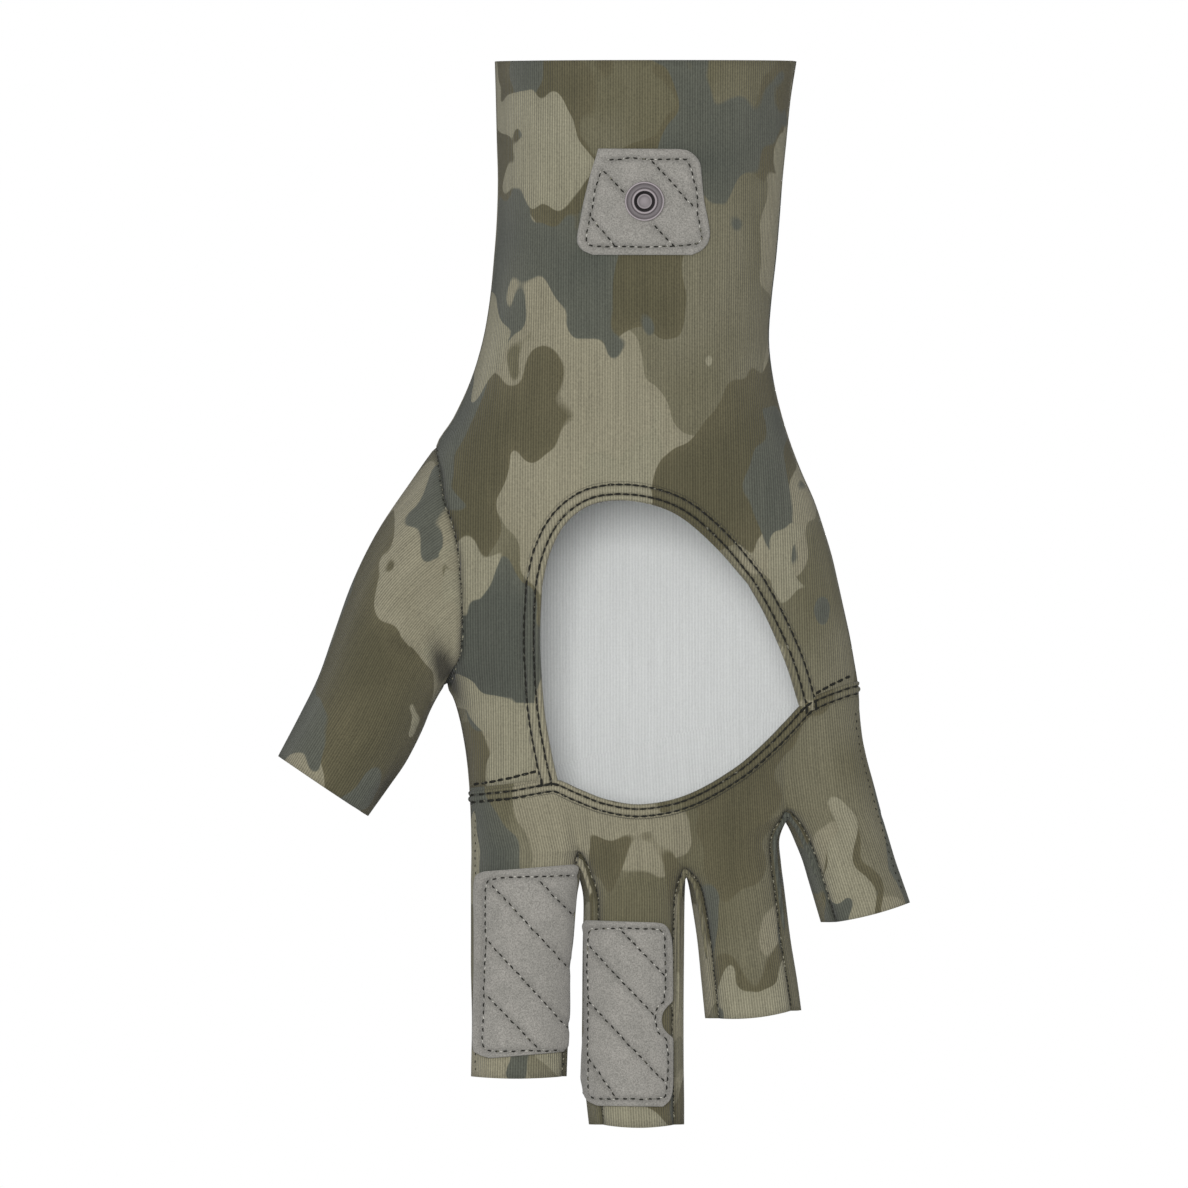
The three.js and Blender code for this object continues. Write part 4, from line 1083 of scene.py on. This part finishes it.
# %% Sheets
def sewn(name):
    """Prints a panel's cut and area. Its cut is taken as the size of its flat places, grown where its area is larger.
    """
    piece, points, faces = walls[name]
    a, b, c = (points[faces[:, i]] for i in range(3))
    area = size_of(np.cross(b - a, c - a)).sum() / 2
    size = np.ptp(sheets[name]["flat"].reshape(-1, 2), axis=0)
    size = size * max(1, math.sqrt(area / (size[0] * size[1])))
    print(f"{name}: cut {size[0]:.0f} x {size[1]:.0f} mm, {area / 100:.0f} square cm")


for name in walls:
    sewn(name)

# %% [markdown]
# ## Stitch lines
# The lines are given in millimetres across and up, as the seam is seen from the front. The rows on the hems
# follow the hems' grooves, and those at the glove's sides and beside the fingers' strips follow the cloth. Only
# the rows on the suede, the thumb's seam and the two ends of the palm seam are lists of places.

# %% Stitch lines
SIDE_IN, STRIP_IN = 1.2, 0.35
hem_lines = [row for path, inward, rows in ((window_edge, 1, HEM_ROWS), (cross_edge, -1, HEM_ROWS * LOWER_WIDTH))
             for row in beside_path(path, inward, rows).transpose(1, 0, 2)]
hem_lines += [[(-41.6, -173.6), (-34.0, -172.2), (-26.3, -170.3)], [(40.4, -151.8), (45.2, -149.2), (51.2, -146.5)]]
seam_lines = [
    [(-50.0, -93.2), (-48.6, -104.5), (-45.7, -113.6), (-44.3, -125.6), (-44.0, -132.8), (-44.0, -139.8),
     (-46.4, -149.0)],
]
v = np.linspace(0.02, 0.98, 30)
for gap in STRIPS.values():
    for on_right, shift in ((False, -STRIP_IN), (True, STRIP_IN)):
        seam_lines.append(strip_point(gap, on_right, v, 0 * v)[:, [0, 2]] + [shift, 0])
edge_lines = []
for side, k, turn_at, down, inward in (
    ("left", 0, LEFT_SIDE[0], np.linspace(SEAM_LEFT + 0.02, 0.945, 24), SIDE_IN),
    ("right", 3, RIGHT_SIDE[0], np.linspace(SEAM_RIGHT + 0.02, 0.780, 20), -SIDE_IN),
):
    edge = np.where(down < turn_at, hand(side, down), fingers[k]["edges"](side, down))
    edge_lines.append(np.stack([edge * PALM_WIDTH + inward, -down * LENGTH], 1))
patch_lines = [
    [(-9.2, -24.0), (-3.6, -23.5), (0.8, -23.7), (8.7, -23.8), (10.1, -24.2), (11.5, -28.6), (12.2, -31.8),
     (12.5, -37.2), (13.3, -42.6), (12.4, -43.9), (4.4, -44.6), (-5.4, -44.6), (-10.8, -44.5), (-13.5, -44.1),
     (-14.3, -42.7), (-13.0, -36.1), (-11.7, -29.6), (-10.7, -26.4)],
    [(1.1, -23.8), (6.1, -29.1), (10.9, -34.6)],
    [(-10.4, -26.2), (-5.3, -31.6)],
    [(1.7, -39.4), (6.5, -44.2)],
    [(-13.3, -37.4), (-7.6, -44.1)],
]
index_lines = [
    [(-17.6, -195.2), (-25.3, -195.5), (-36.8, -196.2), (-38.2, -197.6), (-38.3, -210.8), (-38.8, -225.2),
     (-38.9, -235.6), (-37.6, -237.2), (-27.7, -237.2), (-19.8, -237.2)],
    [(-37.1, -197.2), (-28.0, -207.2), (-18.8, -217.3)],
    [(-38.0, -210.8), (-28.2, -221.4), (-18.6, -232.0)],
    [(-38.0, -224.0), (-32.0, -230.3), (-26.0, -236.5)],
    [(-25.6, -196.4), (-21.2, -201.2), (-17.6, -205.0)],
]
middle_lines = [
    [(-13.8, -246.8), (-13.8, -227.6), (-13.8, -209.6), (-12.8, -208.2), (-4.9, -208.0), (3.4, -208.3),
     (4.4, -210.0), (4.4, -225.0), (2.8, -226.9), (2.3, -229.8), (3.0, -232.7), (4.9, -234.8), (4.9, -246.8),
     (3.8, -248.6), (-4.9, -248.8), (-12.4, -248.6), (-13.6, -247.6)],
    [(-6.1, -208.2), (-0.8, -213.7), (4.4, -219.2)],
    [(-13.8, -211.8), (-5.9, -220.4), (2.0, -228.8)],
    [(-14.0, -225.0), (-4.7, -235.1), (4.9, -245.2)],
    [(-13.8, -238.7), (-10.4, -243.7), (-7.1, -248.5)],
]
print("stitch lines:", sum(map(len, (hem_lines, seam_lines, patch_lines, index_lines, middle_lines))))

# %% [markdown]
# ## Suede
# The three grey pieces are short-napped suede, quilted by their stitches. Each is a grid laid on the cloth: it
# rises quickly from its cut edge, is flat on top, and dips along every stitch line, where shade is painted into
# its colour. The nap is two noises of very different size, one for its fibres and one for the places where it lies
# another way.

# %% Suede material
suede, net, shader = material("suede", 0.95, Sheen_Weight=0.25, Sheen_Roughness=0.6, Specular_IOR_Level=0.15)
fibre, cloud = net.noise(net.spot(), 2900.0, 2.0, 0.6), net.noise(net.spot(), 210.0, 4.0, 0.65)
tone = net.mix(net.steps(cloud, 0.3, 0.7), srgb(137, 135, 129), srgb(151, 148, 142))
tone = shaded(net, tone, net.steps(fibre, 0.3, 0.7, 0.66, 1.24))
# painted shade: the suede falls to 0.80 of its tone in the dips along its stitches
net.put(shader.inputs["Base Color"], painted_shade_in_creases(net, tone, 0.80))
bump(net, shader, net.math("ADD", fibre, net.math("MULTIPLY", cloud, 0.5)), 0.0002)

# %% [markdown]
# ## Suede outlines
# A row says how far down and across the left end of a line over the piece is, and then the same for its right
# end. The rows follow each other down the piece, so its rounded corners are rows that grow longer or shorter.

# %% Suede pieces
PATCH_ROWS = [
    [0.0826, -0.1200, 0.0830, 0.0850], [0.0850, -0.1222, 0.0848, 0.1084], [0.0906, -0.1262, 0.0906, 0.1278],
    [0.0976, -0.1325, 0.0976, 0.1375], [0.1104, -0.1425, 0.1104, 0.1413], [0.1316, -0.1566, 0.1316, 0.1472],
    [0.1470, -0.1645, 0.1470, 0.1556], [0.1598, -0.1712, 0.1598, 0.1610], [0.1669, -0.1738, 0.1669, 0.1595],
    [0.1725, -0.1712, 0.1730, 0.1525], [0.1780, -0.1590, 0.1785, 0.1370], [0.1822, -0.1340, 0.1822, 0.1150],
]
INDEX_ROWS = [
    [0.7597, -0.4060, 0.7532, -0.1850], [0.7615, -0.4190, 0.7550, -0.1800], [0.7654, -0.4290, 0.7600, -0.1810],
    [0.7800, -0.4330, 0.7790, -0.1850], [0.8038, -0.4320, 0.8038, -0.1900], [0.8527, -0.4320, 0.8527, -0.2020],
    [0.8900, -0.4340, 0.8900, -0.2030], [0.9249, -0.4340, 0.9200, -0.2060], [0.9315, -0.4210, 0.9260, -0.2080],
    [0.9349, -0.3960, 0.9290, -0.2140],
]
MIDDLE_ROWS = [
    [0.8057, -0.1460, 0.8076, 0.0230], [0.8095, -0.1520, 0.8095, 0.0430], [0.8160, -0.1530, 0.8160, 0.0560],
    [0.8280, -0.1530, 0.8280, 0.0625], [0.8550, -0.1530, 0.8550, 0.0640], [0.8780, -0.1530, 0.8780, 0.0640],
    [0.8825, -0.1530, 0.8825, 0.0610], [0.8870, -0.1530, 0.8870, 0.0500], [0.8920, -0.1530, 0.8920, 0.0410],
    [0.8987, -0.1530, 0.8987, 0.0375], [0.9060, -0.1530, 0.9060, 0.0410], [0.9112, -0.1530, 0.9112, 0.0510],
    [0.9152, -0.1550, 0.9152, 0.0620], [0.9195, -0.1555, 0.9195, 0.0650], [0.9440, -0.1570, 0.9440, 0.0655],
    [0.9640, -0.1550, 0.9640, 0.0640], [0.9740, -0.1430, 0.9740, 0.0570], [0.9794, -0.1170, 0.9803, 0.0410],
]
SUEDE_TOP, SUEDE_EDGE, SUEDE_FOOT, SUEDE_DIP = 1.40, 0.75, 0.02, 0.45
EDGE_REACH, DIP_REACH, CUT_MORE, FLATTEST = 0.8, 0.75, 1.08, 0.985
ROW_PARTS, COLUMNS, SEWN_STEP = 8, 61, 0.5


def on_hand(across, down):
    return hand_point("front", across, down)


def on_finger(k):
    """A function that lays a place, across and down, on the front of a finger."""
    def lay(across, down):
        first, final = seam_angles(k)
        left, right = (fingers[k]["edges"](edge, down) for edge in ("left", "right"))
        turn = np.arccos(np.clip((2 * across - left - right) / (right - left), -FLATTEST, FLATTEST))
        share, end = finger_share(k, turn)
        start = mix(crotches[k]["front"][0], crotches[k + 1]["front"][0], share)
        return finger_point("front", k, (down - start) / (end - start), (turn - first) / (final - first))
    return lay


def suede_piece(name, node, rows, lay, lines, on):
    """A grid between the rows' two ends, raised from the cloth by a height that falls off at the edge and along
    the stitches, with the same grid close to the cloth as its underside."""
    outline = Table("row leftDown left rightDown right", np.column_stack([np.arange(len(rows)), rows]))
    at = refine(np.arange(len(rows)), ROW_PARTS)[:, None]
    s = ((1 - np.cos(np.linspace(0, math.pi, COLUMNS))) / 2 + np.linspace(0, 1, COLUMNS)) / 2
    points = lay(*(mix(outline(a, at), outline(b, at), s) for a, b in (("left", "right"), ("leftDown", "rightDown"))))
    out = unit(np.cross(np.gradient(points, axis=0), np.gradient(points, axis=1)))
    border = np.concatenate([points[0], points[-1], points[:, 0], points[:, -1]])
    inside = nearest(points.reshape(-1, 3), border).reshape(points.shape[:2])
    sewn_at = np.concatenate([even_path(np.array(line), SEWN_STEP) for line in lines])
    dip = np.exp(-((nearest(points[..., [0, 2]].reshape(-1, 2), sewn_at) / DIP_REACH) ** 2))
    rise = np.minimum(inside / EDGE_REACH, 1) ** 0.5
    height = mix(SUEDE_EDGE, SUEDE_TOP, rise) - SUEDE_DIP * dip.reshape(rise.shape)
    top, foot = points + out * height[..., None], points + out * SUEDE_FOOT
    grid = np.arange(rise.size).reshape(rise.shape)
    a, b, c, d = grid[:-1, :-1], grid[1:, :-1], grid[1:, 1:], grid[:-1, 1:]
    faces = np.stack([a, b, c, a, c, d], -1).reshape(-1, 3)
    corners, is_rim = wall(faces, rise.size)
    both = np.concatenate([top.reshape(-1, 3), foot.reshape(-1, 3)])
    # painted shade: the stitch dips carry their darkness to the suede's colour
    piece = mesh_object(
        name, both, corners, [suede], node, sharp=is_rim, crease_and_painted_shade=np.concatenate([dip, 0 * dip]))
    return piece, top.reshape(-1, 3), faces


suedes = [suede_piece(*settings) for settings in (
    ("wrist_suede", "wrist_patch", PATCH_ROWS, on_hand, patch_lines, "palm_cloth"),
    ("index_suede", "index_pad", INDEX_ROWS, on_finger(0), index_lines, "finger_front_cloth"),
    ("middle_suede", "middle_pad", MIDDLE_ROWS, on_finger(1), middle_lines, "finger_front_cloth"),
)]

# %% [markdown]
# ## Stitches
# A stitch is a short round thread that rises from the cloth and goes back into it. It has few faces, because
# there are several hundred. A line of them could be one bumpy tube, but then it wouldn't dip between stitches.

# %% Stitch meshes
def thread_finish(name, dark, light, share):
    """A thread of two tones: share is the level of noise above which it is light."""
    made, net, shader = material(name, 0.8, Specular_IOR_Level=0.2)
    tone = net.mix(net.steps(net.noise(net.spot(), 900.0, 2.0), share, share + 0.08), dark, light)
    net.put(shader.inputs["Base Color"], tone)
    bump(net, shader, net.noise(net.spot(), 5200.0, 1.0), 0.0001)
    return made


dark_thread = thread_finish("dark_thread", srgb(34, 34, 30), srgb(118, 116, 102), 0.62)
# painted highlight: pale tones that stand for light caught on the suede's stitches
painted_highlight_thread = thread_finish("painted_highlight_thread", srgb(120, 119, 112), srgb(196, 194, 186), 0.48)
seam_thread = thread_finish("seam_thread", srgb(42, 42, 37), srgb(142, 139, 121), 0.50)

RINGS, SIDES = np.linspace(-1, 1, 6), np.arange(6) * math.pi / 3
STITCH_RISE, STITCH_SINK, STITCH_THIN = 0.8, 1.5, 0.65


def stitch_mesh(name, centres, along, out, length, radius, finish):
    """Each stitch is a bent rod: its middle line is a parabola that sinks at both ends, and its radius shrinks
    there as a fourth power."""
    across = unit(np.cross(along, out))
    out = unit(np.cross(across, along))
    t = RINGS[None, :, None, None]
    middle = centres[:, None, None] + along[:, None, None] * t * length / 2
    middle = middle + out[:, None, None] * radius * (STITCH_RISE - STITCH_SINK * t**2)
    thick = radius * (1 - STITCH_THIN * t**4)
    ring = np.cos(SIDES)[None, None, :, None] * across[:, None, None] * thick
    ring = ring + np.sin(SIDES)[None, None, :, None] * out[:, None, None] * thick
    block = len(RINGS) * len(SIDES)
    cap = np.array([(0, i + 1, i) for i in range(1, len(SIDES) - 1)])
    one = np.concatenate([bands(np.arange(block).reshape(len(RINGS), -1)), cap[:, ::-1], cap + block - len(SIDES)])
    faces = (one[None] + (np.arange(len(centres)) * block)[:, None, None]).reshape(-1, 3)
    mesh_object(name, (middle + ring).reshape(-1, 3), faces, [finish])
    print(f"{name}: {len(centres)} stitches")


def looker(parts):
    """A tree of the surfaces that stitches may lie on."""
    _, points, faces = zip(*parts)
    starts = np.cumsum([0] + [len(p) for p in points])
    faces = np.concatenate([f + start for f, start in zip(faces, starts)])
    return BVHTree.FromPolygons(np.concatenate(points).tolist(), faces.tolist())


def drop(tree, spots):
    """Where a straight look from the front first meets a surface, and the way that surface faces."""
    hits = [tree.ray_cast(Vector((x, LOOK_FROM, z)), Vector((0, 1, 0))) for x, z in spots]
    found = np.array([hit[0] is not None for hit in hits])
    points, facing = (np.array([hit[i] or (0, -1, 0) for hit in hits]) for i in (0, 1))
    facing *= np.where(facing[:, 1:2] > 0, -1, 1)
    return points, facing, found


def sew(name, tree, lines, pitch, length, radius, finish=dark_thread, start=4, loose=0.0, smooth=None):
    """Stitches along the lines. start is where in a pitch, in eighths, each falls, and loose how far in
    millimetres one may lie off its place. smooth gives the way they stand out, if not the surface's own. A
    stitch is left out where the surface falls away too steeply."""
    paths = [even_path(np.array(line), pitch / 8) for line in lines]
    spots = np.concatenate([path[start::8] for path in paths])
    tangents = np.concatenate([unit(np.gradient(path, axis=0))[start::8] for path in paths])
    spots = spots + np.random.default_rng(PLACE_SEED).uniform(-loose, loose, spots.shape)
    tangents = tangents + np.random.default_rng(TURN_SEED).uniform(-loose, loose, spots.shape)
    centres, out, found = drop(tree, spots)
    out = out if smooth is None else smooth(spots)[1]
    ahead, _, found_ahead = drop(tree, spots + tangents * length * LOOK_ALONG)
    behind, _, found_behind = drop(tree, spots - tangents * length * LOOK_ALONG)
    along = ahead - behind
    span = size_of(along)[:, None] + 1e-9
    good = found & found_ahead & found_behind & (span < STEEPEST * length).ravel()
    stitch_mesh(name, centres[good], (along / span)[good], out[good], length, radius, finish)


STEEPEST, LOOK_FROM, LOOK_ALONG, PLACE_SEED, TURN_SEED = 1.8, -100.0, 0.3, 7, 11
front_parts = [walls[name] for name in STANDS_FOR if name != "back_cloth"]
on_cloth, on_suede = looker(front_parts + list(ridges.values()) + list(hems.values())), looker(suedes)
suede_lines = patch_lines + index_lines + middle_lines
# name, surface, lines, pitch, length, radius, slot
sew("hem_stitches", on_cloth, hem_lines, 2.0, 2.15, 0.31, loose=0.05, smooth=palm_surface)
sew("seam_stitches", on_cloth, seam_lines, 1.15, 0.90, 0.16, seam_thread, loose=0.14)
sew("edge_stitches", on_cloth, edge_lines, 1.8, 0.80, 0.11, loose=0.12)
sew("suede_stitches", on_suede, suede_lines, 1.95, 1.25, 0.18, loose=0.12)
# painted highlights: pale short stitches half a pitch off the dark ones
sew("suede_painted_highlight_flecks", on_suede, suede_lines, 1.95, 0.8, 0.12, painted_highlight_thread, start=0, loose=0.18)

# %% [markdown]
# ## Press stud
# The stud's socket is a pressed metal ring with a rolled lip and a raised collar, and a post with a rounded rim
# stands in it. Both are profiles turned about the stud's own axis, which leans with the wrist. Each place of a
# profile also says how much painted shade darkens it: most in the groove between them, less on the flat band
# and the post's top, so the lip and collar stay light like lit edges.

# %% Press stud
STUD_AT, SEAT_STEP, TURN_STEPS = (-0.0038, 0.1315), 0.02, 96
metal, net, shader = material("stud_metal", 0.6, Metallic=0.15, Specular_IOR_Level=0.3)
worn = net.noise(net.spot(), 900.0, 3.0, 0.6)
tone = net.mix(worn, srgb(154, 146, 149), srgb(168, 160, 163))
# painted shade: the metal falls to 0.12 of its tone in the groove, less on the band and post
net.put(shader.inputs["Base Color"], painted_shade_in_creases(net, tone, 0.12))
net.put(shader.inputs["Roughness"], net.steps(worn, 0.3, 0.7, 0.52, 0.64))
bump(net, shader, worn, 0.00003)


def stud_seat():
    """The stud's centre on the cloth and its three directions, the last one its axis."""
    near = SEAT_STEP * np.array([[0, 1, -1, 0, 0], [0, 0, 0, -1, 1]])
    point = hand_point("front", STUD_AT[0] + near[0], STUD_AT[1] + near[1])
    side = unit(point[1] - point[2])
    axis = unit(np.cross(side, point[3] - point[4]))
    return point[0], side, np.cross(axis, side), axis


def turned(name, node, profile):
    """Each profile point, a radius and a height above the cloth in millimetres, carried once round the axis. Its
    third number is how much painted shade darkens the place."""
    centre, side, up, axis = stud_seat()
    profile = np.array(profile)
    angle = (np.arange(TURN_STEPS) * 2 * math.pi / TURN_STEPS)[:, None, None]
    radius, height = profile[None, :, :1], profile[None, :, 1:2]
    points = centre + side * np.cos(angle) * radius + up * np.sin(angle) * radius + axis * height
    at = np.arange(points[..., 0].size).reshape(points.shape[:2])
    on_axis = np.where(profile[:, 0] < 1e-6, at[0], at)
    faces = on_axis.ravel()[bands(np.concatenate([at, at[:1]]))]
    used, local = np.unique(faces[solid(faces)], return_inverse=True)
    crease_and_painted_shade = np.tile(profile[:, 2], TURN_STEPS)[used]
    mesh_object(
        name, points.reshape(-1, 3)[used], local.reshape(-1, 3)[:, ::-1], [metal], node, crease_and_painted_shade=crease_and_painted_shade)


# radius, height, painted shade
SOCKET = [
    (1.86, 1.20, 1.0), (4.20, 1.20, 0.6), (4.62, 1.75, 0.5), (4.72, 2.35, 0.3), (4.70, 2.75, 0.1),
    (4.60, 2.98, 0.0), (4.42, 2.98, 0.0), (4.30, 2.76, 0.4), (4.20, 2.48, 0.66), (4.00, 2.36, 0.70),
    (3.40, 2.32, 0.66), (3.16, 2.40, 0.78), (3.08, 2.80, 0.4), (2.98, 3.30, 0.05), (2.80, 3.50, 0.0),
    (2.62, 3.46, 0.05), (2.50, 3.20, 0.5), (2.44, 2.80, 0.95), (2.36, 2.20, 1.0), (1.86, 2.10, 1.0),
]
POST = [
    (0.00, 1.30, 1.0), (1.84, 1.30, 1.0), (1.84, 2.75, 1.0), (1.80, 2.95, 0.5), (1.68, 3.04, 0.26),
    (1.45, 2.98, 0.56), (1.20, 2.90, 0.62), (0.90, 2.90, 0.52), (0.40, 2.94, 0.42), (0.00, 2.95, 0.40),
]
turned("stud_socket", "snap_ring", SOCKET)
turned("stud_post", "snap_post", POST)
print("stud axis:", stud_seat()[3].round(3))

# %% [markdown]
# ## Floor and light
# The glove hangs by its cuff over a plain pale floor, in the even light of a white studio. A large soft light
# in front gives the cloth its form, and the white surroundings keep the shadows open.

# %% Floor and light
FLOOR_HALF, FLOOR_HEIGHT, SKY_ON_CLOTH = 0.55, -0.30, 0.42
floor_mesh = bpy.data.meshes.new("floor")
floor_mesh.from_pydata(
    [(x * FLOOR_HALF, y * FLOOR_HALF, FLOOR_HEIGHT) for x, y in ((-1, -1), (1, -1), (1, 1), (-1, 1))],
    [], [(0, 1, 2, 3)])
floor = bpy.data.objects.new("floor", floor_mesh)
bpy.context.scene.collection.objects.link(floor)
floor_mesh.materials.append(material("floor_paint", 0.9, Base_Color=(0.85, 0.85, 0.84, 1))[0])

world = bpy.data.worlds.new("studio")
bpy.context.scene.world = world
world.use_nodes = True
net = Net(world.node_tree)
sky = world.node_tree.nodes["Background"].inputs
sky["Color"].default_value = (1, 1, 1, 1)
seen = net.add("LightPath").outputs["Is Camera Ray"]
net.put(sky["Strength"], net.steps(seen, 0.0, 1.0, SKY_ON_CLOTH, 1.0))
bpy.context.scene.view_settings.view_transform = "Standard"


def soft_light(name, at, size, watts):
    """A square light at a place in metres, turned towards the middle of the glove."""
    light = bpy.data.lights.new(name, "AREA")
    light.size, light.energy = size, watts
    made = bpy.data.objects.new(name, light)
    bpy.context.scene.collection.objects.link(made)
    made.location = at
    aim = Vector((VIEW_CENTRE[0] * MM, 0, VIEW_CENTRE[1] * MM)) - Vector(at)
    made.rotation_euler = aim.to_track_quat("-Z", "Y").to_euler()


soft_light("front_light", (-0.18, -2.0, 0.08), 0.8, 29)
soft_light("back_light", (0.25, 2.0, 0.10), 0.8, 14)
